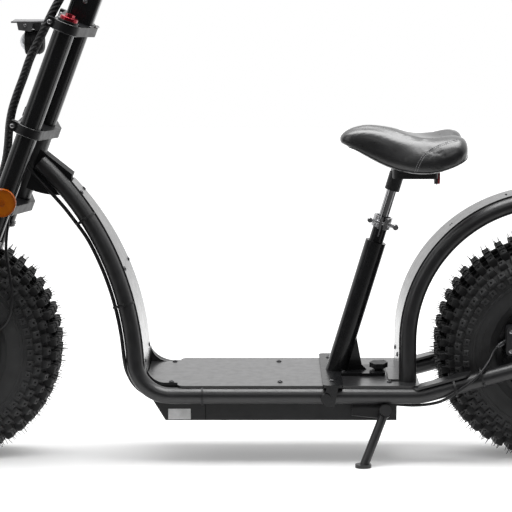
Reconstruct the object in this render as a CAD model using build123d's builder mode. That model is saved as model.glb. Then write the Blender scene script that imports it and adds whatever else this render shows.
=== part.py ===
"""Electric scooter with a saddle: triple-clamp fork, twin-tube frame and fat knobbly tyres.

The scooter is drawn upright, with +X to the rear, +Y to its right side, +Z up, the floor
under the lug tips at Z = 0 and X = 0 midway between the axles. Every piece is then leaned
onto the side stand as it is written, so the stored scooter stands parked on its floor.
"""

import os
from math import asin, cos, degrees, radians, sin, sqrt, tan

from build123d import *

os.makedirs("parts", exist_ok=True)

LEFT = -1
RIGHT = 1
SIDES = {"left": LEFT, "right": RIGHT}

# Wheels
WHEELBASE = 1292.0
TYRE_R = 243.0
CROWN_R = 130.0
BEAD_R = 106.0
BEAD_HALF_WIDTH = 70.0
TYRE_WALL = 9.0
KNOB_DEPTH = 15.0
KNOB_LENGTH = 29.0
KNOB_SINK = 6.0
TREAD_PITCHES = 22
CARCASS = [
    # distance to the side, radius
    (24.0, TYRE_R - 15.5),
    (76.0, TYRE_R - 38.0),
    (86.0, TYRE_R - 65.0),
    (BEAD_HALF_WIDTH, BEAD_R + 13.0),
    (BEAD_HALF_WIDTH, BEAD_R),
    (BEAD_HALF_WIDTH - TYRE_WALL, BEAD_R),
    (74.0, BEAD_R + 46.0),
    (48.0, TYRE_R - 38.0),
]
KNOB_ROWS = [
    # inner side, outer side, turned by this share of a pitch
    (-13.0, 13.0, 0.0),
    (20.0, 46.0, 0.5),
    (53.0, 77.0, 0.0),
]
RIM_FLANGE_R = 116.0
RIM_FLANGE_T = 4.0
RIM_WELL_R = 92.0
MOTOR_R = 80.0
MOTOR_HALF_WIDTH = 56.0
HUB_BOSS_R = 26.0
HUB_BOSS_HALF_WIDTH = 80.0
AXLE_R = 7.0
AXLE_PLAY = 0.05
AXLE_NUT_R = 12.5
AXLE_NUT_T = 11.0
AXLE_STUB = 12.0
DISC_R = 82.0
DISC_T = 3.0
CALIPER_REACH = 78.0
CALIPER_RISE = 30.0
CALIPER_LENGTH = 62.0
CALIPER_DEPTH = 44.0
CALIPER_IN_Y = 66.0
CALIPER_OUT_Y = 104.0
CALIPER_GAP = 2.0
CALIPER_PLATE_T = 6.0
FITTING_R = 5.5
FITTING_LENGTH = 25.0
SPACER_R = 11.0

# Parking
LEAN = 6.0
STAND_RAKE = 22.0
STAND_SPLAY = 18.0
STAND_DROOP = 4.0
STAND_PIVOT_X = 290.0
STAND_PIVOT_Y = -123.0
STAND_PIVOT_Z = 125.0
STAND_LEG_R = 9.5
STAND_EYE_R = 14.0
STAND_EYE_T = 19.0
STAND_BOLT_R = 6.0
STAND_BOLT_HEAD_R = 12.0
STAND_BOLT_HEAD_T = 6.0
STAND_FOOT_R = 17.0
STAND_FOOT_T = 7.0
STAND_PLATE_T = 7.0
STAND_PLATE_FRONT_X = 221.0
STAND_PLATE_H = 26.0
STAND_GAP = 0.3

# Side tubes of the frame
RAIL_R = 17.5
RAIL_WALL = 2.5
RAIL_Y = 115.0
RAIL_Z = 157.5
RAIL_LEVEL_START_X = -163.5
RAIL_KINK_X = 364.0
RAIL_RISE = 15.5
RAIL_RISE_BEND_R = 120.0
RAIL_END_X = 593.0
NECK_R = 628.0
NECK_FOOT_R = 77.0
NECK_CENTRE_RISE = 34.7
NECK_TOP_ANGLE = 47.1
NECK_LEAN = 10.9

# Head and fork
RAKE = 20.9
AXLE_OFFSET = 30.8
LEG_OFFSET = 19.2
LEG_Y = 115.0
LEG_R = 22.0
LEG_WALL = 3.0
LEG_LOW = 266.0
LEG_PROUD = 3.0
WIPER_R = 25.0
WIPER_H = 12.0
SLIDER_R = 16.0
SLIDER_WALL = 3.0
SLIDER_LOW = 14.0
SLIDER_TOP = 420.0
LUG_BOSS_R = 20.0
LUG_SOCKET_R = 21.0
LUG_SOCKET_TOP = 62.0
LUG_HALF_T = 14.0
FIT = 0.1
CLAMP_T = 20.0
CLAMP_LOBE_R = 28.5
CLAMP_CENTRE_R = 36.0
PINCH_LUG_LENGTH = 12.0
PINCH_LUG_WIDTH = 22.0
PINCH_SLIT = 3.0
GUIDE_REACH = 26.0
GUIDE_WIDTH = 26.0
GUIDE_Y = -15.0
CLAMP_HEIGHTS = {"lower": 349.8, "middle": 517.1, "upper": 744.2}
HEAD_R = 24.0
STEERER_R = 20.0
STEERER_PLAY = 0.05
RISER_TUBE_R = 22.0
HEADSET_GAP = 0.6
GUSSET_HALF_WIDTH = 22.0
GUSSET_RISE = 36.6
GUSSET_SLOPE = 14.0
GUSSET_BACK = 92.5
GUSSET_SAG = 7.0
GUSSET_REAR_H = 46.0
GUSSET_TOP_DROP = 30.0
CAP_R = 19.0
CAP_H = 9.0
CAP_HEX_R = 10.0
CAP_HEX_H = 6.0

# Handlebar
STEM_LENGTH = 118.0
STEM_DEPTH = 60.0
STEM_WIDTH = 56.0
STEM_CORNER_R = 12.0
STEM_OFFSET = -6.0
BAR_R = 11.1
BAR_HALF_CENTRE = 75.0
BAR_RISE = 45.0
BAR_END_LENGTH = 205.0
BAR_HALF_WIDTH = 360.0
BAR_BEND_R = 60.0
BAR_SWEEP = 38.0
PERCH_R = 17.0
PERCH_LENGTH = 26.0
PERCH_GAP = 6.0
LEVER_BEND_LENGTH = 22.0
LEVER_LENGTH = 150.0
LEVER_T = 9.0
LEVER_REACH = 46.0
DISPLAY_LENGTH = 82.0
DISPLAY_WIDTH = 62.0
DISPLAY_T = 16.0
BAR_CLAMP_R = 21.0
BAR_CLAMP_HALF_WIDTH = 26.0
GRIP_R = 16.0
GRIP_LENGTH = 128.0

# Deck
DECK_T = 5.0
DECK_HALF_WIDTH = 118.0
DECK_CORNER_R = 14.0
DECK_FRONT_X = -150.0
DECK_TONGUE_X = -216.0
DECK_TONGUE_HALF_WIDTH = 92.0
DECK_ARM_END_X = 457.0
DECK_ARM_HALF_WIDTH = 15.0
DECK_LIP_LENGTH = 40.0
DECK_LIP_T = 4.0
COVER_T = 3.0
COVER_GAP = 0.2
COVER_TOP_ANGLE = 40.3
BOX_HALF_WIDTH = 94.0
BOX_BOTTOM_Z = 97.0
BOX_REAR_X = 317.0
BOX_FRONT_X = -222.5
BOX_SLANT = 46.5
BOX_WALL = 2.5
BOX_CORNER_R = 2.0
PACK_LENGTH = 440.0
PACK_HALF_WIDTH = 88.0
PACK_H = 64.0
PACK_REAR_GAP = 20.0

# Rear hoop and its mudguard
HOOP_TUBE_R = 17.0
HOOP_TUBE_WALL = 2.0
HOOP_TYRE_GAP = 42.0
HOOP_R = TYRE_R + HOOP_TYRE_GAP + HOOP_TUBE_R
HOOP_AXLE_AHEAD = 2.0
HOOP_AXLE_RISE = 21.3
HOOP_CENTRE_X = WHEELBASE / 2 - HOOP_AXLE_AHEAD
HOOP_CENTRE_Z = TYRE_R + HOOP_AXLE_RISE
HOOP_FOOT_Y = 76.0
HOOP_LEAN = 6.3
HOOP_END_ANGLE = 50.0
GUARD_T = 3.0
GUARD_END_ANGLE = 58.0
GUARD_FOOT_LENGTH = 22.0
BRIDGE_ANGLE = 53.5
BRIDGE_R = 10.0
STAY_R = 9.5
STAY_WALL = 2.0
STAY_X = 666.0
STAY_LOW_Z = 252.0
STAY_BEND_Z = 492.0
STAY_BEND_R = 45.0
DROPOUT_T = 10.0
DROPOUT_BOSS_R = 26.0

# Saddle and its mast
MAST_TILT = 16.3
MAST_FOOT_X = 191.5
MAST_R = 22.4
MAST_LENGTH = 294.7
INNER_R = 15.5
INNER_LOW = 180.0
INNER_TOP = 348.5
INNER_SLOT_WIDTH = 5.4
INNER_SLOT_DEPTH = 42.0
COLLAR_R = 20.5
COLLAR_H = 25.0
COLLAR_TOP = 352.0
COLLAR_EAR_LENGTH = 14.0
COLLAR_EAR_T = 9.0
COLLAR_SPLIT = 4.0
COLLAR_BOLT_R = 4.0
COLLAR_BOLT_HEAD_R = 7.0
COLLAR_BOLT_HALF_LENGTH = 26.0
POST_R = 11.0
POST_LOW = 225.0
POST_TOP = 437.0
BASE_T = 6.0
BASE_FRONT_X = 158.0
BASE_CROSS_LENGTH = 42.0
BASE_TAIL_X = 296.0
BASE_TAIL_HALF_WIDTH = 38.0
BASE_CORNER_R = 9.0
HOOK_T = 4.0
HOOK_LOW_Z = 139.0
HOOK_AHEAD = 2.0
HOOK_CORNER = 9.0
HOOK_LOW_LENGTH = 24.0
HOOK_CAP_BACK = 6.0
HOOK_CAP_R = 11.0
HOOK_CAP_T = 5.0
MAST_GUSSET_T = 6.0
MAST_GUSSET_H = 72.0
MAST_GUSSET_LENGTH = 66.0
MAST_GUSSET_CORNER = 11.0
KNOB_X = 283.5
KNOB_R = 20.0
KNOB_H = 15.0
KNOB_STEM_R = 9.0
KNOB_STEM_H = 4.5
KNOB_POINT_R = 5.6
KNOB_POINTS = 6

# Saddle: distance from the nose, half width, and heights of each section
SADDLE_NOSE_X = 196.0
SADDLE_SECTIONS = [
    # along, half_width, low_z, skirt_z, lobe_z, top_z
    (3.0, 14.0, 681.0, 685.0, 690.0, 694.0),
    (30.0, 30.0, 668.0, 684.0, 706.0, 714.0),
    (70.0, 45.0, 649.0, 670.0, 709.0, 719.0),
    (130.0, 66.0, 629.0, 652.0, 699.0, 708.0),
    (185.0, 95.0, 630.0, 652.0, 694.0, 697.0),
    (225.0, 105.0, 641.0, 662.0, 700.0, 694.0),
    (255.0, 96.0, 652.0, 670.0, 698.0, 691.0),
    (269.0, 78.0, 660.0, 676.0, 689.0, 684.0),
]
SADDLE_LOBE_SHARE = 0.62
PAN_FRONT_X = 306.0
PAN_REAR_X = 402.0
PAN_BOTTOM_Z = 610.0
PAN_HALF_WIDTH = 42.0
PAN_CORNER_R = 14.0
POST_CLAMP_R = 16.0
POST_CLAMP_DEPTH = 26.0
POST_CLAMP_REACH = 12.0
PAN_SINK = 0.3
TAIL_R = 14.0
TAIL_DROP = 3.0
TAIL_LENS_T = 6.0
TAIL_BACK_T = 5.0

# Lamp and reflectors at the head
LAMP_R = 25.5
LAMP_NECK_R = 20.0
LAMP_AHEAD = 93.0
LAMP_LENS_DEPTH = 14.0
LAMP_LENGTH = 51.0
LAMP_DROP = 44.8
LAMP_TAPER = 12.0
BRACKET_AHEAD = 107.0
BRACKET_T = 3.0
BRACKET_HALF_WIDTH = 34.0
BRACKET_FLANGE_START = 95.0
BRACKET_FLANGE_LENGTH = 33.0
BRACKET_FLANGE_H = 18.0
LAMP_HANGER_LENGTH = 14.0
LAMP_HANGER_WIDTH = 20.0
REFLECTOR_R = 28.0
REFLECTOR_T = 9.0
REFLECTOR_RISE = 12.6
REFLECTOR_PAD = 14.0


def write(sub_part, label, place=(0, 0, 0)):
    """Lean a finished piece onto the stand with the rest of the scooter, and write it."""
    piece = FLOOR.to_local_coords(sub_part.part.moved(Location(place)))
    piece.label = label
    export_step(piece, f"parts/{label}.step")


def write_together(pieces, label):
    """Write like pieces of one body as one node."""
    with BuildPart() as together:
        add(pieces)
    write(together, label)


# Places worked out from the driving sizes
FRONT_AXLE = Vector(-WHEELBASE / 2, 0, TYRE_R)
REAR_AXLE = Vector(WHEELBASE / 2, 0, TYRE_R)
STEER_UP = Vector(sin(radians(RAKE)), 0, cos(radians(RAKE)))
STEER_BACK = Vector(cos(radians(RAKE)), 0, -sin(radians(RAKE)))
FORK = Plane(origin=FRONT_AXLE + STEER_BACK * AXLE_OFFSET, x_dir=STEER_BACK, z_dir=STEER_UP)
DECK_BOTTOM_Z = RAIL_Z + RAIL_R
DECK_TOP_Z = DECK_BOTTOM_Z + DECK_T
STEM_LOW = CLAMP_HEIGHTS["upper"] + CLAMP_T / 2
BAR_HEIGHT = STEM_LOW + STEM_LENGTH + BAR_CLAMP_R
LEG_TOP = STEM_LOW + LEG_PROUD
GRIP_CENTRE = FORK.from_local_coords(Vector(STEM_OFFSET + BAR_SWEEP, 0, BAR_HEIGHT + BAR_RISE))

# The floor of the leaned scooter touches the left edge of the middle knobs of both tyres
FLOOR_UP = Vector(0, sin(radians(LEAN)), cos(radians(LEAN)))
FOOTPRINT_Y = KNOB_ROWS[0][1]
FOOTPRINT_R = TYRE_R - CROWN_R + sqrt(CROWN_R**2 - FOOTPRINT_Y**2)
TYRE_DROP = FOOTPRINT_R * cos(radians(LEAN)) + FOOTPRINT_Y * sin(radians(LEAN))
BELOW_GRIPS = Vector(0, 0, GRIP_CENTRE.Z)
FLOOR_DEPTH = (BELOW_GRIPS - Vector(0, 0, TYRE_R)).dot(FLOOR_UP) + TYRE_DROP
FLOOR = Plane(origin=BELOW_GRIPS - FLOOR_UP * FLOOR_DEPTH, x_dir=(1, 0, 0), z_dir=FLOOR_UP)


def side_plane(y, z=0.0):
    """The upright plane at one distance to the side, with X along it and Z up it."""
    return Plane(origin=(0, y, z), x_dir=(1, 0, 0), z_dir=(0, -1, 0))


def leaning_plane(y, z, lean, side):
    """A side plane whose top leans in towards the middle of the scooter."""
    up = Vector(0, -side * sin(radians(lean)), cos(radians(lean)))
    return Plane(origin=(0, side * y, z), x_dir=(1, 0, 0), z_dir=Vector(1, 0, 0).cross(up))


def steer_plane(y=0.0):
    """The upright plane along the steering axis, with the axis as its second direction."""
    origin = FORK.origin + Vector(0, y, 0)
    return Plane(origin=origin, x_dir=STEER_BACK, z_dir=(0, -1, 0))


def start_plane(path):
    """The plane across the start of a path."""
    return Plane(origin=path @ 0, z_dir=path % 0)


# Side tubes: neck arc, foot bend, level run, and the rise to the rear axle
NECK_CENTRE = (
    RAIL_LEVEL_START_X
    - sqrt((NECK_R + NECK_FOOT_R) ** 2 - (NECK_FOOT_R - NECK_CENTRE_RISE) ** 2),
    NECK_CENTRE_RISE,
)
NECK_JOIN_ANGLE = degrees(asin((NECK_FOOT_R - NECK_CENTRE_RISE) / (NECK_R + NECK_FOOT_R)))


def neck_line(side):
    """Centreline of the front part of a side tube, in its leaning plane."""
    with BuildLine(leaning_plane(RAIL_Y, RAIL_Z, NECK_LEAN, side)) as line:
        neck = CenterArc(NECK_CENTRE, NECK_R, NECK_TOP_ANGLE, NECK_JOIN_ANGLE - NECK_TOP_ANGLE)
        CenterArc(
            (RAIL_LEVEL_START_X, NECK_FOOT_R),
            NECK_FOOT_R,
            180 + NECK_JOIN_ANGLE,
            90 - NECK_JOIN_ANGLE,
        )
        Line((RAIL_LEVEL_START_X, 0), (0, 0))
    return line.line


def rear_line(side):
    """Centreline of the rear part of a side tube, in its upright plane."""
    bend_x = RAIL_KINK_X - RAIL_RISE_BEND_R * tan(radians(RAIL_RISE / 2))
    with BuildLine(side_plane(side * RAIL_Y, RAIL_Z)) as line:
        level = Line((0, 0), (bend_x, 0))
        bend = JernArc(level @ 1, level % 1, RAIL_RISE_BEND_R, RAIL_RISE)
        rise_length = (RAIL_END_X - (bend @ 1).X) / cos(radians(RAIL_RISE))
        PolarLine((bend_x + RAIL_RISE_BEND_R * sin(radians(RAIL_RISE)),
                   RAIL_RISE_BEND_R * (1 - cos(radians(RAIL_RISE)))), rise_length, RAIL_RISE)
    return line.line


def side_tube(side, radius, wall=0.0):
    """One side tube, or its full outer shape where no wall is given."""
    with BuildPart() as tube:
        for path in (neck_line(side), rear_line(side)):
            with BuildSketch(start_plane(path)):
                Circle(radius)
                if wall:
                    Circle(radius - wall, mode=Mode.SUBTRACT)
            sweep(path=path)
    return tube


side_shapes = {side: side_tube(side, RAIL_R).part for side in (LEFT, RIGHT)}

for name, side in SIDES.items():
    with BuildPart() as rail:
        add(side_tube(side, RAIL_R, RAIL_WALL).part)
        with BuildSketch(FORK.offset(CLAMP_HEIGHTS["lower"])):
            Circle(HEAD_R)
        extrude(amount=CLAMP_HEIGHTS["middle"] - CLAMP_HEIGHTS["lower"], mode=Mode.SUBTRACT)
    write(rail, f"rail_{name}")

# Head tube, between the lower and the middle fork clamp
HEAD_LOW = CLAMP_HEIGHTS["lower"] + CLAMP_T / 2 + HEADSET_GAP
HEAD_TOP = CLAMP_HEIGHTS["middle"] - CLAMP_T / 2 - HEADSET_GAP
with BuildPart() as head_tube:
    with BuildSketch(FORK.offset(HEAD_LOW)):
        Circle(HEAD_R)
        Circle(STEERER_R + STEERER_PLAY, mode=Mode.SUBTRACT)
    extrude(amount=HEAD_TOP - HEAD_LOW)
write(head_tube, "head_tube")

# Gusset that fills the corner between the head tube and the side tubes
GUSSET_LOW = CLAMP_HEIGHTS["lower"] + GUSSET_RISE
GUSSET_REAR_LOW = GUSSET_LOW + GUSSET_SLOPE
GUSSET_REAR_TOP = GUSSET_REAR_LOW + GUSSET_REAR_H
GUSSET_TOP = HEAD_TOP - GUSSET_TOP_DROP
with BuildPart() as head_gusset:
    with BuildSketch(steer_plane()):
        with BuildLine():
            SagittaArc((0, GUSSET_LOW), (GUSSET_BACK, GUSSET_REAR_LOW), -GUSSET_SAG)
            Polyline(
                (GUSSET_BACK, GUSSET_REAR_LOW),
                (GUSSET_BACK, GUSSET_REAR_TOP),
                (0, GUSSET_TOP),
                (0, GUSSET_LOW),
            )
        make_face()
    extrude(amount=GUSSET_HALF_WIDTH, both=True)
    for side in (LEFT, RIGHT):
        add(side_shapes[side], mode=Mode.SUBTRACT)
    with BuildSketch(FORK.offset(HEAD_LOW)):
        Circle(HEAD_R)
    extrude(amount=HEAD_TOP - HEAD_LOW, mode=Mode.SUBTRACT)
write(head_gusset, "head_gusset")

# Curved cover over the backs of both side tubes, tapering with them
def on_neck(radius, angle):
    """A point at one radius of the neck arc, seen from the side."""
    centre_x, centre_up = NECK_CENTRE
    up = centre_up + radius * sin(radians(angle))
    return (centre_x + radius * cos(radians(angle)), RAIL_Z + up * cos(radians(NECK_LEAN)))


COVER_IN_R = NECK_R + RAIL_R + COVER_GAP
COVER_OUT_R = COVER_IN_R + COVER_T
COVER_FOOT_ANGLE = degrees(asin((DECK_TOP_Z - RAIL_Z) / COVER_IN_R - NECK_CENTRE_RISE / COVER_IN_R))
COVER_MID_ANGLE = (COVER_TOP_ANGLE + COVER_FOOT_ANGLE) / 2
with BuildPart() as cover_plate:
    with BuildSketch(Plane.XZ):
        with BuildLine():
            inner = ThreePointArc(
                on_neck(COVER_IN_R, COVER_FOOT_ANGLE),
                on_neck(COVER_IN_R, COVER_MID_ANGLE),
                on_neck(COVER_IN_R, COVER_TOP_ANGLE),
            )
            outer = ThreePointArc(
                on_neck(COVER_OUT_R, COVER_FOOT_ANGLE),
                on_neck(COVER_OUT_R, COVER_MID_ANGLE),
                on_neck(COVER_OUT_R, COVER_TOP_ANGLE),
            )
            Line(inner @ 0, outer @ 0)
            Line(inner @ 1, outer @ 1)
        make_face()
    extrude(amount=RAIL_Y + RAIL_R, both=True)
    split(bisect_by=leaning_plane(RAIL_Y, RAIL_Z, NECK_LEAN, LEFT), keep=Keep.BOTTOM)
    split(bisect_by=leaning_plane(RAIL_Y, RAIL_Z, NECK_LEAN, RIGHT), keep=Keep.TOP)
    for side in (LEFT, RIGHT):
        add(side_shapes[side], mode=Mode.SUBTRACT)
write(cover_plate, "cover_plate")

# Deck plate with its front tongue, its arms along the rising tubes and two front lips
ARM_PLANE = Plane(
    origin=(RAIL_KINK_X, 0, DECK_BOTTOM_Z),
    x_dir=(cos(radians(RAIL_RISE)), 0, sin(radians(RAIL_RISE))),
    z_dir=(-sin(radians(RAIL_RISE)), 0, cos(radians(RAIL_RISE))),
)
ARM_LENGTH = (DECK_ARM_END_X - RAIL_KINK_X) / cos(radians(RAIL_RISE))
ARM_LAP = 2.0
with BuildPart() as deck_plate:
    with BuildSketch(Plane.XY.offset(DECK_BOTTOM_Z)) as outline:
        with BuildLine():
            FilletPolyline(
                (RAIL_KINK_X, -DECK_HALF_WIDTH),
                (DECK_FRONT_X, -DECK_HALF_WIDTH),
                (DECK_FRONT_X, DECK_HALF_WIDTH),
                (RAIL_KINK_X, DECK_HALF_WIDTH),
                close=True,
                radius=DECK_CORNER_R,
            )
        make_face()
        tongue_x = (DECK_TONGUE_X + DECK_FRONT_X) / 2
        with Locations((tongue_x + DECK_CORNER_R / 2, 0)):
            Rectangle(DECK_FRONT_X - DECK_TONGUE_X + DECK_CORNER_R, 2 * DECK_TONGUE_HALF_WIDTH)
    extrude(amount=DECK_T)
    with BuildSketch(ARM_PLANE):
        with GridLocations(0, 2 * RAIL_Y, 1, 2):
            with Locations((ARM_LENGTH / 2 - ARM_LAP, 0)):
                SlotOverall(ARM_LENGTH + 2 * DECK_ARM_HALF_WIDTH, 2 * DECK_ARM_HALF_WIDTH)
    extrude(amount=DECK_T)
    for side in (LEFT, RIGHT):
        with BuildSketch(side_plane(side * (DECK_TONGUE_HALF_WIDTH - DECK_LIP_T / 2))):
            with BuildLine():
                corner = (DECK_TONGUE_X, DECK_TOP_Z)
                rear = (DECK_TONGUE_X + DECK_LIP_LENGTH, DECK_TOP_Z)
                top = (DECK_TONGUE_X, DECK_TOP_Z + DECK_LIP_LENGTH)
                Line(corner, rear)
                RadiusArc(rear, top, DECK_LIP_LENGTH)
                Line(top, corner)
            make_face()
        extrude(amount=DECK_LIP_T / 2, both=True)
    add(cover_plate, mode=Mode.SUBTRACT)
    for side in (LEFT, RIGHT):
        add(side_shapes[side], mode=Mode.SUBTRACT)
write(deck_plate, "deck_plate")

# Battery box under the deck, closed by the deck plate, and the pack of cells in it
with BuildPart() as battery_box:
    for inset in (0.0, BOX_WALL):
        with BuildSketch(Plane.XZ):
            Polygon(
                (BOX_FRONT_X + inset, DECK_BOTTOM_Z),
                (BOX_FRONT_X + BOX_SLANT + inset, BOX_BOTTOM_Z + inset),
                (BOX_REAR_X - inset, BOX_BOTTOM_Z + inset),
                (BOX_REAR_X - inset, DECK_BOTTOM_Z),
                align=None,
            )
        extrude(
            amount=BOX_HALF_WIDTH - inset,
            both=True,
            mode=Mode.SUBTRACT if inset else Mode.ADD,
        )
        if not inset:
            box_shape = battery_box.part
    fillet(battery_box.edges().filter_by(Axis.X).group_by(Axis.Z)[0], BOX_CORNER_R)
write(battery_box, "battery_box")

with BuildPart() as battery_pack:
    pack_x = BOX_REAR_X - BOX_WALL - PACK_REAR_GAP - PACK_LENGTH / 2
    with BuildSketch(Plane.XY.offset(BOX_BOTTOM_Z + BOX_WALL)):
        with Locations((pack_x, 0)):
            Rectangle(PACK_LENGTH, 2 * PACK_HALF_WIDTH)
    extrude(amount=PACK_H)
write(battery_pack, "battery_pack")

# Dropout plates at the ends of the side tubes
dropouts = []
for side in (LEFT, RIGHT):
    rail_end = rear_line(side) @ 1
    rise = Vector(cos(radians(RAIL_RISE)), 0, sin(radians(RAIL_RISE)))
    across = Vector(-rise.Z, 0, rise.X) * RAIL_R
    low = rail_end - across
    high = rail_end + across
    with BuildPart() as dropout:
        with BuildSketch(side_plane(side * RAIL_Y)):
            with BuildLine():
                CenterArc((REAR_AXLE.X, REAR_AXLE.Z), DROPOUT_BOSS_R, 0, 360)
                Line((low.X, low.Z), (high.X, high.Z))
            make_hull()
            with Locations((REAR_AXLE.X, REAR_AXLE.Z)):
                Circle(AXLE_R + AXLE_PLAY, mode=Mode.SUBTRACT)
        extrude(amount=DROPOUT_T / 2, both=True)
        split(bisect_by=Plane(origin=rail_end, z_dir=rise), keep=Keep.TOP)
    dropouts.append(dropout.part)
write_together(dropouts, "dropouts")

# Rear hoop tubes over the wheel, leaning in towards each other
HOOP_CENTRE_UP = (HOOP_CENTRE_Z - DECK_TOP_Z) / cos(radians(HOOP_LEAN))
HOOP_FOOT_X = HOOP_CENTRE_X - HOOP_R
HOOP_FOOT_TRIM = HOOP_TUBE_R * tan(radians(HOOP_LEAN)) + 1


def hoop_tube(side, radius, wall=0.0):
    """One hoop tube, or its full outer shape where no wall is given."""
    with BuildLine(leaning_plane(HOOP_FOOT_Y, DECK_TOP_Z, HOOP_LEAN, side)) as path:
        Line((HOOP_FOOT_X, -HOOP_FOOT_TRIM), (HOOP_FOOT_X, HOOP_CENTRE_UP))
        CenterArc((HOOP_CENTRE_X, HOOP_CENTRE_UP), HOOP_R, 180, HOOP_END_ANGLE - 180)
    with BuildPart() as tube:
        with BuildSketch(start_plane(path.line)):
            Circle(radius)
            if wall:
                Circle(radius - wall, mode=Mode.SUBTRACT)
        sweep(path=path.line)
        split(bisect_by=Plane.XY.offset(DECK_TOP_Z), keep=Keep.TOP)
    return tube


hoop_shapes = {side: hoop_tube(side, HOOP_TUBE_R).part for side in (LEFT, RIGHT)}
for name, side in SIDES.items():
    hoop = hoop_tube(side, HOOP_TUBE_R, HOOP_TUBE_WALL)
    write(hoop, f"hoop_{name}")


def on_hoop(radius, angle):
    """A point at one radius of the hoop, seen from the side."""
    up = HOOP_CENTRE_UP + radius * sin(radians(angle))
    return (
        HOOP_CENTRE_X + radius * cos(radians(angle)),
        DECK_TOP_Z + up * cos(radians(HOOP_LEAN)),
    )


# Mudguard plate on the outside of the hoop tubes, with a foot on the deck
GUARD_IN_R = HOOP_R + HOOP_TUBE_R + COVER_GAP
GUARD_OUT_R = GUARD_IN_R + GUARD_T
GUARD_MID_ANGLE = (180 + GUARD_END_ANGLE) / 2
with BuildPart() as mudguard:
    with BuildSketch(Plane.XZ):
        with BuildLine():
            inner = ThreePointArc(
                on_hoop(GUARD_IN_R, 180),
                on_hoop(GUARD_IN_R, GUARD_MID_ANGLE),
                on_hoop(GUARD_IN_R, GUARD_END_ANGLE),
            )
            outer = ThreePointArc(
                on_hoop(GUARD_OUT_R, 180),
                on_hoop(GUARD_OUT_R, GUARD_MID_ANGLE),
                on_hoop(GUARD_OUT_R, GUARD_END_ANGLE),
            )
            Line(inner @ 1, outer @ 1)
            foot_x = (outer @ 0).X
            Line(outer @ 0, (foot_x, DECK_TOP_Z + GUARD_T))
            Line((foot_x, DECK_TOP_Z + GUARD_T), (foot_x - GUARD_FOOT_LENGTH, DECK_TOP_Z + GUARD_T))
            Line(
                (foot_x - GUARD_FOOT_LENGTH, DECK_TOP_Z + GUARD_T),
                (foot_x - GUARD_FOOT_LENGTH, DECK_TOP_Z),
            )
            Line((foot_x - GUARD_FOOT_LENGTH, DECK_TOP_Z), ((inner @ 0).X, DECK_TOP_Z))
            Line(((inner @ 0).X, DECK_TOP_Z), inner @ 0)
        make_face()
    extrude(amount=HOOP_FOOT_Y + HOOP_TUBE_R, both=True)
    split(bisect_by=leaning_plane(HOOP_FOOT_Y, DECK_TOP_Z, HOOP_LEAN, LEFT), keep=Keep.BOTTOM)
    split(bisect_by=leaning_plane(HOOP_FOOT_Y, DECK_TOP_Z, HOOP_LEAN, RIGHT), keep=Keep.TOP)
    for side in (LEFT, RIGHT):
        add(hoop_shapes[side], mode=Mode.SUBTRACT)
write(mudguard, "mudguard")

# Bridge between the ends of the hoop tubes
with BuildPart() as hoop_bridge:
    bridge_x, bridge_z = on_hoop(HOOP_R, BRIDGE_ANGLE)
    with BuildSketch(Plane.XZ):
        with Locations((bridge_x, bridge_z)):
            Circle(BRIDGE_R)
    extrude(amount=HOOP_FOOT_Y, both=True)
    for side in (LEFT, RIGHT):
        split(
            bisect_by=leaning_plane(HOOP_FOOT_Y, DECK_TOP_Z, HOOP_LEAN, side),
            keep=Keep.BOTTOM if side == LEFT else Keep.TOP,
        )
        add(hoop_shapes[side], mode=Mode.SUBTRACT)
write(hoop_bridge, "hoop_bridge")

# Stays from the dropouts up to the hoop, slotted over the dropout plates
stays = []
for side in (LEFT, RIGHT):
    hoop_side = HOOP_FOOT_Y - (HOOP_CENTRE_UP + HOOP_R) * sin(radians(HOOP_LEAN))
    hoop_top = HOOP_CENTRE_Z + HOOP_R
    with BuildLine(Plane(origin=(STAY_X, 0, 0), x_dir=(0, 1, 0), z_dir=(1, 0, 0))) as stay_path:
        FilletPolyline(
            (side * RAIL_Y, STAY_LOW_Z),
            (side * RAIL_Y, STAY_BEND_Z),
            (side * hoop_side, hoop_top),
            radius=STAY_BEND_R,
        )
    with BuildPart() as stay:
        with BuildSketch(start_plane(stay_path.line)):
            Circle(STAY_R)
            Circle(STAY_R - STAY_WALL, mode=Mode.SUBTRACT)
        sweep(path=stay_path.line)
        add(hoop_shapes[side], mode=Mode.SUBTRACT)
        with BuildSketch(side_plane(side * RAIL_Y)):
            with Locations((REAR_AXLE.X, REAR_AXLE.Z)):
                Circle(DROPOUT_BOSS_R)
        extrude(amount=DROPOUT_T / 2, both=True, mode=Mode.SUBTRACT)
        split(bisect_by=Plane(origin=hoop_shapes[side].center(), x_dir=(1, 0, 0), z_dir=(0, side, 0)),
              keep=Keep.TOP)
    stays.append(stay.part)
write_together(stays, "stays")

# Mast that carries the saddle: it leans back from its base on the deck
MAST_UP = Vector(sin(radians(MAST_TILT)), 0, cos(radians(MAST_TILT)))
BASE_TOP_Z = DECK_TOP_Z + BASE_T
MAST = Plane(origin=(MAST_FOOT_X, 0, BASE_TOP_Z), x_dir=(0, -1, 0), z_dir=MAST_UP)

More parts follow.
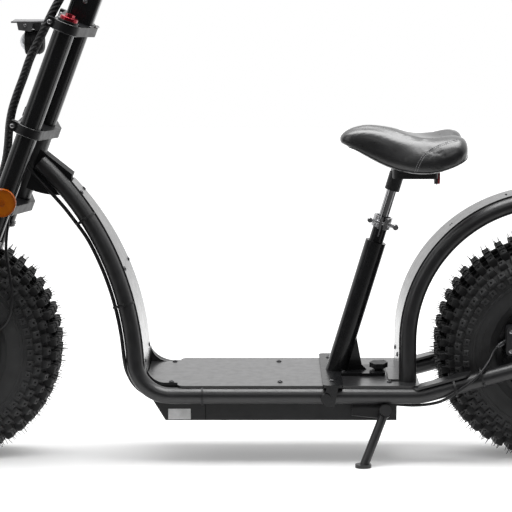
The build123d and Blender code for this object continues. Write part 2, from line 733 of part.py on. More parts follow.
with BuildPart() as seat_base:
    with BuildSketch(Plane.XY.offset(DECK_TOP_Z)):
        with Locations((BASE_FRONT_X + BASE_CROSS_LENGTH / 2, 0)):
            RectangleRounded(
                BASE_CROSS_LENGTH, 2 * (RAIL_Y + RAIL_R + HOOK_T), BASE_CORNER_R
            )
        with Locations(((BASE_FRONT_X + BASE_TAIL_X) / 2, 0)):
            RectangleRounded(
                BASE_TAIL_X - BASE_FRONT_X, 2 * BASE_TAIL_HALF_WIDTH, BASE_CORNER_R
            )
    extrude(amount=BASE_T)
    for side in (LEFT, RIGHT):
        with BuildSketch(side_plane(side * (RAIL_Y + RAIL_R + HOOK_T / 2 + STAND_GAP))):
            with BuildLine():
                Polyline(
                    (BASE_FRONT_X + BASE_CORNER_R, BASE_TOP_Z),
                    (BASE_FRONT_X - HOOK_AHEAD, HOOK_LOW_Z + HOOK_CORNER),
                    (BASE_FRONT_X - HOOK_AHEAD + HOOK_CORNER, HOOK_LOW_Z),
                    (BASE_FRONT_X + HOOK_LOW_LENGTH, HOOK_LOW_Z),
                    (BASE_FRONT_X + BASE_CROSS_LENGTH - BASE_CORNER_R, BASE_TOP_Z),
                    close=True,
                )
            make_face()
        extrude(amount=HOOK_T / 2, both=True)
        with BuildSketch(side_plane(side * (RAIL_Y + RAIL_R + HOOK_T + STAND_GAP))):
            with Locations((BASE_FRONT_X + HOOK_CAP_BACK, RAIL_Z)):
                Circle(HOOK_CAP_R)
        extrude(amount=-side * HOOK_CAP_T)
write(seat_base, "seat_base")

with BuildPart() as mast:
    with BuildSketch(MAST.offset(-MAST_R)):
        Circle(MAST_R)
    extrude(amount=MAST_R + MAST_LENGTH)
    with BuildSketch(MAST.offset(INNER_LOW - 1)):
        Circle(INNER_R + FIT)
    extrude(amount=MAST_LENGTH, mode=Mode.SUBTRACT)
    with BuildSketch(Plane.XZ):
        gusset_top_z = BASE_TOP_Z + MAST_GUSSET_H
        gusset_top_x = MAST_FOOT_X + MAST_R + MAST_GUSSET_H * tan(radians(MAST_TILT))
        Polygon(
            (MAST_FOOT_X, BASE_TOP_Z),
            (MAST_FOOT_X + MAST_GUSSET_LENGTH, BASE_TOP_Z),
            (MAST_FOOT_X + MAST_GUSSET_LENGTH - MAST_GUSSET_CORNER, BASE_TOP_Z + MAST_GUSSET_CORNER),
            (gusset_top_x, gusset_top_z),
            (gusset_top_x - MAST_R, gusset_top_z - MAST_R),
            align=None,
        )
    extrude(amount=MAST_GUSSET_T / 2, both=True)
    with BuildSketch(MAST.offset(BASE_T)):
        Circle(INNER_R)
    extrude(amount=INNER_LOW, mode=Mode.SUBTRACT)
    split(bisect_by=Plane.XY.offset(BASE_TOP_Z), keep=Keep.TOP)
write(mast, "mast")

# Slotted inner tube of the mast, its clamp collar and the saddle post
with BuildPart() as inner_tube:
    with BuildSketch(MAST.offset(INNER_LOW)):
        Circle(INNER_R)
        Circle(POST_R + AXLE_PLAY, mode=Mode.SUBTRACT)
    extrude(amount=INNER_TOP - INNER_LOW)
    with BuildSketch(MAST.offset(INNER_TOP - INNER_SLOT_DEPTH)):
        with Locations((INNER_R, 0)):
            Rectangle(INNER_R * 2, INNER_SLOT_WIDTH)
    extrude(amount=INNER_SLOT_DEPTH, mode=Mode.SUBTRACT)
write(inner_tube, "inner_tube")

with BuildPart() as seat_collar:
    with BuildSketch(MAST.offset(COLLAR_TOP - COLLAR_H)):
        Circle(COLLAR_R)
        with Locations((COLLAR_R + COLLAR_EAR_LENGTH / 2 - 2, 0)):
            Rectangle(COLLAR_EAR_LENGTH, 2 * COLLAR_EAR_T)
        Circle(INNER_R + FIT, mode=Mode.SUBTRACT)
        with Locations((COLLAR_R, 0)):
            Rectangle(2 * COLLAR_R, COLLAR_SPLIT, mode=Mode.SUBTRACT)
    extrude(amount=COLLAR_H)
    bolt_up = COLLAR_TOP - COLLAR_H / 2
    bolt_centre = MAST.from_local_coords(Vector(COLLAR_R + 5, 0, bolt_up))
    with BuildSketch(Plane(origin=bolt_centre, z_dir=MAST.y_dir)):
        Circle(COLLAR_BOLT_R)
    extrude(amount=COLLAR_BOLT_HALF_LENGTH, both=True)
write(seat_collar, "seat_collar")

with BuildPart() as saddle_post:
    with BuildSketch(MAST.offset(POST_LOW)):
        Circle(POST_R)
    extrude(amount=POST_TOP - POST_LOW)
write(saddle_post, "saddle_post")

# Star knob that locks the saddle base to the deck
with BuildPart() as star_knob:
    with BuildSketch(Plane.XY.offset(BASE_TOP_Z)):
        with Locations((KNOB_X, 0)):
            Circle(KNOB_STEM_R)
    extrude(amount=KNOB_STEM_H)
    with BuildSketch(Plane.XY.offset(BASE_TOP_Z + KNOB_STEM_H)):
        with Locations((KNOB_X, 0)):
            Circle(KNOB_R - KNOB_POINT_R / 2)
            with PolarLocations(KNOB_R - KNOB_POINT_R, KNOB_POINTS):
                Circle(KNOB_POINT_R)
    extrude(amount=KNOB_H - KNOB_STEM_H)
write(star_knob, "star_knob")

# Saddle: flat underside, short skirt, and a top with a lobe on each side
with BuildPart() as saddle:
    for along, half_width, low_z, skirt_z, lobe_z, top_z in SADDLE_SECTIONS:
        lobe_y = half_width * SADDLE_LOBE_SHARE
        section_plane = Plane(origin=(SADDLE_NOSE_X + along, 0, 0), x_dir=(0, 1, 0), z_dir=(1, 0, 0))
        with BuildSketch(section_plane):
            Polygon(
                (-half_width, low_z),
                (half_width, low_z),
                (half_width, skirt_z),
                (lobe_y, lobe_z),
                (0, top_z),
                (-lobe_y, lobe_z),
                (-half_width, skirt_z),
                align=None,
            )
    loft(ruled=True)
write(saddle, "saddle")

# Pan under the saddle with its clamp on the post and the plate of the tail reflector
saddle_low = [(SADDLE_NOSE_X + along, low_z) for along, _, low_z, _, _, _ in SADDLE_SECTIONS]


def under_saddle(x):
    """Height of the saddle's underside at one place along it."""
    for (front_x, front_z), (rear_x, rear_z) in zip(saddle_low, saddle_low[1:]):
        if x <= rear_x:
            return front_z + (rear_z - front_z) * (x - front_x) / (rear_x - front_x)


pan_xs = [PAN_REAR_X, *(x for x, z in reversed(saddle_low) if PAN_FRONT_X < x < PAN_REAR_X), PAN_FRONT_X]
TAIL_Z = PAN_BOTTOM_Z - TAIL_DROP
with BuildPart() as saddle_pan:
    with BuildSketch(Plane.XZ):
        Polygon(
            (PAN_FRONT_X, PAN_BOTTOM_Z),
            (PAN_REAR_X, PAN_BOTTOM_Z),
            *[(x, under_saddle(x) - PAN_SINK) for x in pan_xs],
            align=None,
        )
    extrude(amount=PAN_HALF_WIDTH, both=True)
    fillet(saddle_pan.edges().filter_by(Axis.Z), PAN_CORNER_R)
    with BuildSketch(MAST.offset(POST_TOP - POST_CLAMP_DEPTH)):
        Circle(POST_CLAMP_R)
    extrude(amount=POST_CLAMP_DEPTH + POST_CLAMP_REACH)
    with BuildSketch(MAST.offset(POST_TOP - POST_CLAMP_DEPTH)):
        Circle(POST_R + FIT)
    extrude(amount=POST_CLAMP_DEPTH, mode=Mode.SUBTRACT)
    with BuildSketch(Plane(origin=(PAN_REAR_X, 0, TAIL_Z), x_dir=(0, 1, 0), z_dir=(1, 0, 0))):
        Circle(TAIL_R)
    extrude(amount=-TAIL_BACK_T)
write(saddle_pan, "saddle_pan")

with BuildPart() as tail_reflector:
    with BuildSketch(Plane(origin=(PAN_REAR_X, 0, TAIL_Z), x_dir=(0, 1, 0), z_dir=(1, 0, 0))):
        Circle(TAIL_R)
    extrude(amount=TAIL_LENS_T)
write(tail_reflector, "tail_reflector")

# Side stand: parked direction of its leg, folded direction, and the hinge across both
STAND_PIVOT = Vector(STAND_PIVOT_X, STAND_PIVOT_Y, STAND_PIVOT_Z)
PARKED_LEG = (
    FLOOR.x_dir * -sin(radians(STAND_RAKE))
    - FLOOR.y_dir * cos(radians(STAND_RAKE)) * sin(radians(STAND_SPLAY))
    - FLOOR.z_dir * cos(radians(STAND_RAKE)) * cos(radians(STAND_SPLAY))
)
FOLDED_LEG = Vector(cos(radians(STAND_DROOP)), 0, -sin(radians(STAND_DROOP)))
STAND_OUT = PARKED_LEG.cross(FOLDED_LEG).normalized()
STAND = Plane(origin=STAND_PIVOT, x_dir=FOLDED_LEG, z_dir=STAND_OUT)
PIVOT_HEIGHT = (STAND_PIVOT - FLOOR.origin).dot(FLOOR_UP)
LEG_REACH = PIVOT_HEIGHT / (cos(radians(STAND_RAKE)) * cos(radians(STAND_SPLAY)))
FOOT_CENTRE = STAND_PIVOT + PARKED_LEG * LEG_REACH

with BuildPart() as stand_bracket:
    with BuildSketch(STAND.offset(-STAND_EYE_T / 2 - STAND_GAP)):
        with BuildLine():
            CenterArc((0, 0), STAND_EYE_R, 0, 360)
            front = STAND_PLATE_FRONT_X - STAND_PIVOT_X
            Line((front, -STAND_EYE_R * 0.8), (front, STAND_PLATE_H))
            Line((front, STAND_PLATE_H), (0, STAND_PLATE_H))
        make_hull()
    extrude(amount=-STAND_PLATE_T)
    add(side_shapes[LEFT], mode=Mode.SUBTRACT)
    with BuildSketch(STAND.offset(-STAND_EYE_T / 2 - STAND_GAP)):
        Circle(STAND_BOLT_R)
    extrude(amount=STAND_EYE_T + 2 * STAND_GAP)
    with BuildSketch(STAND.offset(STAND_EYE_T / 2 + STAND_GAP)):
        Circle(STAND_BOLT_HEAD_R)
    extrude(amount=STAND_BOLT_HEAD_T)
write(stand_bracket, "stand_bracket")

with BuildPart() as stand_leg:
    with BuildSketch(Plane(origin=STAND_PIVOT, z_dir=PARKED_LEG)):
        Circle(STAND_LEG_R)
    extrude(amount=LEG_REACH + STAND_LEG_R)
    with BuildSketch(STAND.offset(-STAND_EYE_T / 2)):
        Circle(STAND_EYE_R)
    extrude(amount=STAND_EYE_T)
    with BuildSketch(STAND.offset(-STAND_EYE_T / 2)):
        Circle(STAND_BOLT_R + AXLE_PLAY)
    extrude(amount=STAND_EYE_T, mode=Mode.SUBTRACT)
    with BuildSketch(Plane(origin=FOOT_CENTRE, x_dir=(1, 0, 0), z_dir=FLOOR_UP)):
        Circle(STAND_FOOT_R)
    extrude(amount=STAND_FOOT_T)
    split(bisect_by=FLOOR, keep=Keep.TOP)
write(stand_leg, "stand_leg")

# Tyre: one pitch of the carcass with its knobs, repeated round the axle
PITCH_ANGLE = 360 / TREAD_PITCHES


def crown(y):
    """Radius of the knob tips at one distance to the side."""
    return TYRE_R - CROWN_R + sqrt(CROWN_R**2 - y**2)


def pitch_plane(turn):
    """The plane across the tyre at one angle from straight up, with the radius as its second direction."""
    return Plane(origin=(0, 0, 0), x_dir=(0, 1, 0), z_dir=(cos(radians(turn)), 0, -sin(radians(turn))))


with BuildPart() as tread_pitch:
    with BuildSketch(Plane.YZ):
        Polygon(*CARCASS, *[(-y, r) for y, r in reversed(CARCASS)], align=None)
    extrude(amount=TYRE_R * sin(radians(PITCH_ANGLE)), both=True)
    split(bisect_by=pitch_plane(PITCH_ANGLE / 2), keep=Keep.BOTTOM)
    split(bisect_by=pitch_plane(-PITCH_ANGLE / 2), keep=Keep.TOP)
    for inner_y, outer_y, share in KNOB_ROWS:
        root = crown(outer_y) - KNOB_DEPTH - KNOB_SINK
        for side in (LEFT, RIGHT) if inner_y > 0 else (RIGHT,):
            with BuildSketch(pitch_plane((share - 0.5) * PITCH_ANGLE / 2)):
                Polygon(
                    (side * inner_y, crown(inner_y)),
                    (side * outer_y, crown(outer_y)),
                    (side * outer_y, root),
                    (side * inner_y, root),
                    align=None,
                )
            extrude(amount=KNOB_LENGTH / 2, both=True)

# The first knob of the middle row stands on the floor
with BuildPart() as tyre:
    add(
        [
            tread_pitch.part.rotate(Axis.Y, 180 + (pitch + 0.25) * PITCH_ANGLE)
            for pitch in range(TREAD_PITCHES)
        ]
    )

# Wheels: tyre, rim with its hub motor, and brake disc, turned about the axle
for name, axle in (("front", FRONT_AXLE), ("rear", REAR_AXLE)):
    write(tyre, f"{name}_tyre", axle)

    wheel_plane = Plane(origin=axle, x_dir=(0, 1, 0), z_dir=(1, 0, 0))
    # Half profile of the rim and motor: distance to the side, radius
    rim_half = [
        (HUB_BOSS_HALF_WIDTH, AXLE_R + AXLE_PLAY),
        (HUB_BOSS_HALF_WIDTH, HUB_BOSS_R),
        (MOTOR_HALF_WIDTH, HUB_BOSS_R + 6),
        (MOTOR_HALF_WIDTH - 3, MOTOR_R),
        (MOTOR_HALF_WIDTH + 6, RIM_WELL_R),
        (BEAD_HALF_WIDTH + RIM_FLANGE_T, RIM_FLANGE_R - 10),
        (BEAD_HALF_WIDTH + RIM_FLANGE_T, RIM_FLANGE_R),
        (BEAD_HALF_WIDTH + FIT, RIM_FLANGE_R),
        (BEAD_HALF_WIDTH + FIT, BEAD_R - FIT),
        (BEAD_HALF_WIDTH - TYRE_WALL - 8, BEAD_R - FIT),
        (BEAD_HALF_WIDTH - TYRE_WALL - 16, RIM_WELL_R),
    ]
    with BuildPart() as rim:
        with BuildSketch(wheel_plane):
            Polygon(*rim_half, *[(-y, r) for y, r in reversed(rim_half)], align=None)
        revolve(axis=Axis(axle, (0, 1, 0)))
    write(rim, f"{name}_rim")

    with BuildPart() as disc:
        with BuildSketch(Plane(origin=axle + Vector(0, -HUB_BOSS_HALF_WIDTH, 0), z_dir=(0, -1, 0))):
            Circle(DISC_R)
            Circle(SPACER_R + FIT, mode=Mode.SUBTRACT)
        extrude(amount=DISC_T)
    write(disc, f"{name}_disc")

# Axles with their spacers and nuts
AXLES = {
    # name: (centre, distance of the carrying plate, half its thickness)
    "front": (FRONT_AXLE, LEG_Y, LUG_HALF_T),
    "rear": (REAR_AXLE, RAIL_Y, DROPOUT_T / 2),
}
for name, (axle, carrier_y, carrier_half_t) in AXLES.items():
    with BuildPart() as axle_rod:
        outer_y = carrier_y + carrier_half_t
        with BuildSketch(Plane(origin=axle, z_dir=(0, 1, 0))):
            Circle(AXLE_R)
        extrude(amount=outer_y + AXLE_NUT_T + AXLE_STUB, both=True)
        for side in (LEFT, RIGHT):
            hub_y = HUB_BOSS_HALF_WIDTH + STAND_GAP
            with BuildSketch(Plane(origin=axle + Vector(0, side * hub_y, 0), z_dir=(0, side, 0))):
                Circle(SPACER_R)
            extrude(amount=carrier_y - carrier_half_t - hub_y)
            with BuildSketch(Plane(origin=axle + Vector(0, side * outer_y, 0), z_dir=(0, side, 0))):
                RegularPolygon(AXLE_NUT_R, 6)
            extrude(amount=AXLE_NUT_T)
    write(axle_rod, f"{name}_axle")

# Fork clamps: a lobe round each leg and one round the steerer
clamp_shapes = {}
for name, height in CLAMP_HEIGHTS.items():
    steerer_r = RISER_TUBE_R if name == "upper" else STEERER_R
    with BuildPart() as clamp:
        with BuildSketch(FORK.offset(height - CLAMP_T / 2)):
            Circle(CLAMP_CENTRE_R)
            for side in (LEFT, RIGHT):
                with BuildLine():
                    CenterArc((-LEG_OFFSET, side * LEG_Y), CLAMP_LOBE_R, 0, 360)
                    CenterArc((0, 0), CLAMP_LOBE_R, 0, 360)
                make_hull()
            lug_reach = CLAMP_LOBE_R + PINCH_LUG_LENGTH
            with Locations((-LEG_OFFSET, LEG_Y), (-LEG_OFFSET, -LEG_Y)):
                with Locations((-lug_reach / 2, 0)):
                    Rectangle(lug_reach, PINCH_LUG_WIDTH)
                    Rectangle(lug_reach, PINCH_SLIT, mode=Mode.SUBTRACT)
                Circle(LEG_R + FIT, mode=Mode.SUBTRACT)
            if name == "lower":
                with Locations((-(CLAMP_CENTRE_R + GUIDE_REACH) / 2, GUIDE_Y)):
                    Rectangle(CLAMP_CENTRE_R + GUIDE_REACH, GUIDE_WIDTH)
            Circle(steerer_r + FIT, mode=Mode.SUBTRACT)
        extrude(amount=CLAMP_T)
    clamp_shapes[name] = clamp.part
    write(clamp, f"clamp_{name}")

# Steerer, thicker above the middle clamp
STEERER_LOW = CLAMP_HEIGHTS["lower"] - CLAMP_T / 2 - 4
STEERER_STEP = CLAMP_HEIGHTS["middle"] + CLAMP_T / 2
with BuildPart() as steerer:
    with BuildSketch(FORK.offset(STEERER_LOW)):
        Circle(STEERER_R)
        Circle(STEERER_R - LEG_WALL, mode=Mode.SUBTRACT)
    extrude(amount=STEERER_STEP - STEERER_LOW)
    with BuildSketch(FORK.offset(STEERER_STEP)):
        Circle(RISER_TUBE_R)
        Circle(STEERER_R - LEG_WALL, mode=Mode.SUBTRACT)
    extrude(amount=STEM_LOW - STEERER_STEP)
write(steerer, "steerer")

# Fork legs: big upper tube with a wiper ring, slim slider with the axle lug, and top cap
fork_legs = []
sliders = []
leg_caps = []
for side in (LEFT, RIGHT):
    leg_plane = steer_plane(side * LEG_Y)
    leg_axis = Axis(leg_plane.from_local_coords(Vector(-LEG_OFFSET, 0, 0)), STEER_UP)
    with BuildPart() as fork_leg:
        with BuildSketch(leg_plane):
            with Locations((-LEG_OFFSET, 0)):
                Polygon(
                    (SLIDER_R + FIT, LEG_LOW),
                    (WIPER_R - 3, LEG_LOW),
                    (WIPER_R, LEG_LOW + 3),
                    (WIPER_R, LEG_LOW + WIPER_H),
                    (LEG_R, LEG_LOW + WIPER_H),
                    (LEG_R, LEG_TOP),
                    (LEG_R - LEG_WALL, LEG_TOP),
                    (LEG_R - LEG_WALL, LEG_LOW + WIPER_H + 30),
                    (SLIDER_R + FIT, LEG_LOW + WIPER_H + 30),
                    align=None,
                )
        revolve(axis=leg_axis)
    fork_legs.append(fork_leg.part)

    with BuildPart() as slider:
        with BuildSketch(Plane(origin=leg_axis.position, x_dir=STEER_BACK, z_dir=STEER_UP).offset(SLIDER_LOW)):
            Circle(SLIDER_R)
        extrude(amount=SLIDER_TOP - SLIDER_LOW)
        with BuildSketch(Plane(origin=leg_axis.position, x_dir=STEER_BACK, z_dir=STEER_UP).offset(SLIDER_LOW)):
            Circle(LUG_SOCKET_R)
        extrude(amount=LUG_SOCKET_TOP - SLIDER_LOW)
        with BuildSketch(leg_plane):
            with BuildLine():
                CenterArc((-AXLE_OFFSET, 0), LUG_BOSS_R, 0, 360)
                Line((-LEG_OFFSET - LUG_SOCKET_R, SLIDER_LOW + 20), (-LEG_OFFSET + LUG_SOCKET_R, SLIDER_LOW + 20))
            make_hull()
        extrude(amount=LUG_HALF_T, both=True)
        with BuildSketch(leg_plane):
            with Locations((-AXLE_OFFSET, 0)):
                Circle(AXLE_R + AXLE_PLAY)
        extrude(amount=LUG_SOCKET_R, both=True, mode=Mode.SUBTRACT)
        with BuildSketch(Plane(origin=leg_axis.position, x_dir=STEER_BACK, z_dir=STEER_UP).offset(LUG_SOCKET_TOP)):
            Circle(SLIDER_R - SLIDER_WALL)
        extrude(amount=SLIDER_TOP - LUG_SOCKET_TOP, mode=Mode.SUBTRACT)
    sliders.append(slider.part)

    with BuildPart() as leg_cap:
        cap_plane = Plane(origin=leg_axis.position, x_dir=STEER_BACK, z_dir=STEER_UP).offset(LEG_TOP)
        with BuildSketch(cap_plane):
            Circle(CAP_R)
        extrude(amount=CAP_H)
        fillet(leg_cap.edges().sort_by(Axis(leg_axis.position, STEER_UP))[-1], 2.0)
        with BuildSketch(cap_plane.offset(CAP_H)):
            RegularPolygon(CAP_HEX_R, 6)
        extrude(amount=CAP_HEX_H)
        with BuildSketch(cap_plane):
            Circle(LEG_R - LEG_WALL - FIT)
        extrude(amount=-6)
    leg_caps.append(leg_cap.part)

write_together(fork_legs, "fork_legs")
write_together(sliders, "sliders")
write_together(leg_caps, "leg_caps")

# Riser stem and the bar clamp on it
BAR_PLANE = Plane(
    origin=FORK.from_local_coords(Vector(STEM_OFFSET, 0, BAR_HEIGHT)),
    x_dir=STEER_BACK,
    z_dir=(0, -1, 0),
)
with BuildPart() as stem:
    with BuildSketch(FORK.offset(STEM_LOW)):
        with Locations((STEM_OFFSET, 0)):
            RectangleRounded(STEM_DEPTH, STEM_WIDTH, STEM_CORNER_R)
    extrude(amount=STEM_LENGTH + BAR_CLAMP_R / 2)
    with BuildSketch(BAR_PLANE):
        Circle(BAR_CLAMP_R)
    extrude(amount=BAR_CLAMP_HALF_WIDTH, both=True)
    with BuildSketch(BAR_PLANE):
        Circle(BAR_R + FIT)
    extrude(amount=STEM_WIDTH, both=True, mode=Mode.SUBTRACT)
write(stem, "stem")

BAR_POINTS = [
    # backwards, to the side, up the steering axis
    (BAR_SWEEP, BAR_HALF_WIDTH, BAR_RISE),
    (0, BAR_HALF_WIDTH - BAR_END_LENGTH, BAR_RISE),
    (0, BAR_HALF_CENTRE, 0),
]
bar_ends = [
    FORK.from_local_coords(Vector(STEM_OFFSET + back, side * across, BAR_HEIGHT + up))
    for side in (LEFT, RIGHT)
    for back, across, up in (BAR_POINTS if side == LEFT else reversed(BAR_POINTS))
]
with BuildLine() as bar_path:
    FilletPolyline(*bar_ends, radius=BAR_BEND_R)
with BuildPart() as handlebar:
    with BuildSketch(start_plane(bar_path.line)):
        Circle(BAR_R)
    sweep(path=bar_path.line)
write(handlebar, "handlebar")

with BuildPart() as grips:
    for end, inner_point in ((bar_ends[0], bar_ends[1]), (bar_ends[-1], bar_ends[-2])):
        inward = (inner_point - end).normalized()
        with BuildSketch(Plane(origin=end, z_dir=inward)):
            Circle(GRIP_R)
            Circle(BAR_R + FIT, mode=Mode.SUBTRACT)
        extrude(amount=GRIP_LENGTH)
        with BuildSketch(Plane(origin=end, z_dir=inward)):
            Circle(GRIP_R)
        extrude(amount=-4)
write(grips, "grips")

# Brake lever perches and blades in front of the grips
with BuildPart() as brake_levers:
    for side, end, inner_point in ((LEFT, bar_ends[0], bar_ends[1]), (RIGHT, bar_ends[-1], bar_ends[-2])):
        inward = (inner_point - end).normalized()
        perch_start = end + inward * (GRIP_LENGTH + PERCH_GAP)
        with BuildSketch(Plane(origin=perch_start, z_dir=inward)):
            Circle(PERCH_R)
            Circle(BAR_R + FIT, mode=Mode.SUBTRACT)
        extrude(amount=PERCH_LENGTH)
        blade_up = inward.cross(STEER_BACK) * side
        blade_plane = Plane(origin=perch_start + inward * PERCH_LENGTH, x_dir=-inward, z_dir=blade_up)
        ahead = 1 if blade_plane.y_dir.dot(STEER_BACK) < 0 else -1
        with BuildSketch(blade_plane):
            Polygon(
                (0, ahead * (BAR_R + LEVER_T / 2)),
                (0, ahead * (PERCH_R + LEVER_T)),
                (PERCH_LENGTH + LEVER_BEND_LENGTH, ahead * LEVER_REACH),
                (LEVER_LENGTH, ahead * LEVER_REACH),
                (LEVER_LENGTH, ahead * (LEVER_REACH - LEVER_T)),
                (PERCH_LENGTH + LEVER_BEND_LENGTH, ahead * (LEVER_REACH - LEVER_T)),
                (PERCH_LENGTH, ahead * (BAR_R + LEVER_T / 2)),
                align=None,
            )
        extrude(amount=LEVER_T / 2, both=True)
write(brake_levers, "brake_levers")

# Display over the bar clamp
DISPLAY_PLANE = Plane(
    origin=FORK.from_local_coords(Vector(STEM_OFFSET, 0, BAR_HEIGHT + BAR_CLAMP_R + FIT)),
    x_dir=STEER_BACK,
    z_dir=STEER_UP,
)
with BuildPart() as display:
    with BuildSketch(DISPLAY_PLANE):
        RectangleRounded(DISPLAY_WIDTH, DISPLAY_LENGTH, STEM_CORNER_R)
    extrude(amount=DISPLAY_T)
write(display, "display")

# Headlamp in front of the upper fork, and its sheet bracket from the upper clamp
CLAMP_FRONT = FORK.from_local_coords(Vector(-CLAMP_CENTRE_R, 0, CLAMP_HEIGHTS["upper"]))
LAMP_Z = CLAMP_FRONT.Z - LAMP_DROP
LAMP_FRONT_X = CLAMP_FRONT.X - LAMP_AHEAD
LAMP_LENS_X = LAMP_FRONT_X + LAMP_LENS_DEPTH
LAMP_REAR_X = LAMP_FRONT_X + LAMP_LENGTH
LAMP_LENS_R = (LAMP_LENS_DEPTH**2 + LAMP_NECK_R**2) / (2 * LAMP_LENS_DEPTH)
with BuildPart() as headlamp:
    with BuildSketch(Plane.XZ):
        with BuildLine():
            Polyline(
                (LAMP_REAR_X - LAMP_TAPER, LAMP_Z + LAMP_R),
                (LAMP_LENS_X, LAMP_Z + LAMP_R),
                (LAMP_LENS_X, LAMP_Z + LAMP_NECK_R),
            )
            RadiusArc((LAMP_LENS_X, LAMP_Z + LAMP_NECK_R), (LAMP_FRONT_X, LAMP_Z), -LAMP_LENS_R)
            Polyline((LAMP_FRONT_X, LAMP_Z), (LAMP_REAR_X, LAMP_Z), (LAMP_REAR_X, LAMP_Z + LAMP_R - LAMP_TAPER))
            RadiusArc(
                (LAMP_REAR_X, LAMP_Z + LAMP_R - LAMP_TAPER),
                (LAMP_REAR_X - LAMP_TAPER, LAMP_Z + LAMP_R),
                -LAMP_TAPER,
            )
        make_face()
    revolve(axis=Axis((0, 0, LAMP_Z), (1, 0, 0)))
write(headlamp, "headlamp")

BRACKET_LOW_Z = CLAMP_FRONT.Z - BRACKET_T
FLANGE_FRONT_X = CLAMP_FRONT.X - BRACKET_FLANGE_START
FLANGE_REAR_X = FLANGE_FRONT_X + BRACKET_FLANGE_LENGTH
with BuildPart() as lamp_bracket:
    with BuildSketch(Plane.XY.offset(BRACKET_LOW_Z)):
        Polygon(
            (CLAMP_FRONT.X - BRACKET_AHEAD, -BRACKET_HALF_WIDTH),
            (FLANGE_REAR_X, -BRACKET_HALF_WIDTH),
            (CLAMP_FRONT.X, -BRACKET_HALF_WIDTH / 2),
            (CLAMP_FRONT.X, BRACKET_HALF_WIDTH / 2),
            (FLANGE_REAR_X, BRACKET_HALF_WIDTH),
            (CLAMP_FRONT.X - BRACKET_AHEAD, BRACKET_HALF_WIDTH),
            align=None,
        )
    extrude(amount=BRACKET_T)
    for side in (LEFT, RIGHT):
        with BuildSketch(side_plane(side * (BRACKET_HALF_WIDTH - BRACKET_T / 2), BRACKET_LOW_Z)):
            Polygon(
                (FLANGE_FRONT_X, 0),
                (FLANGE_REAR_X, 0),
                (FLANGE_REAR_X - BRACKET_T, -BRACKET_FLANGE_H),
                (FLANGE_FRONT_X + BRACKET_T, -BRACKET_FLANGE_H + BRACKET_T),
                align=None,
            )
        extrude(amount=BRACKET_T / 2, both=True)
    with BuildSketch(Plane.XY.offset(LAMP_Z)):
        with Locations((LAMP_REAR_X - LAMP_TAPER, 0)):
            Rectangle(LAMP_HANGER_LENGTH, LAMP_HANGER_WIDTH)
    extrude(amount=BRACKET_LOW_Z - LAMP_Z)
    add(headlamp.part, mode=Mode.SUBTRACT)
    add(clamp_shapes["upper"], mode=Mode.SUBTRACT)
write(lamp_bracket, "lamp_bracket")

# Round reflectors on the outer side of the fork legs
with BuildPart() as side_reflectors:
    for side in (LEFT, RIGHT):
        back_y = LEG_Y + CLAMP_LOBE_R + FIT
        height = CLAMP_HEIGHTS["lower"] + REFLECTOR_RISE
        centre = FORK.from_local_coords(Vector(-LEG_OFFSET, side * back_y, height))
        with BuildSketch(Plane(origin=centre, z_dir=(0, side, 0))):
            Circle(REFLECTOR_R)
        extrude(amount=REFLECTOR_T)
        clamp_top = CLAMP_HEIGHTS["lower"] + CLAMP_T / 2 + FIT
        with BuildSketch(FORK.offset(clamp_top)):
            with Locations((-LEG_OFFSET, side * (back_y - REFLECTOR_PAD / 2))):
                Rectangle(REFLECTOR_PAD, REFLECTOR_PAD)
            with Locations((-LEG_OFFSET, side * LEG_Y)):
                Circle(LEG_R + FIT, mode=Mode.SUBTRACT)
        extrude(amount=REFLECTOR_PAD)
write(side_reflectors, "side_reflectors")

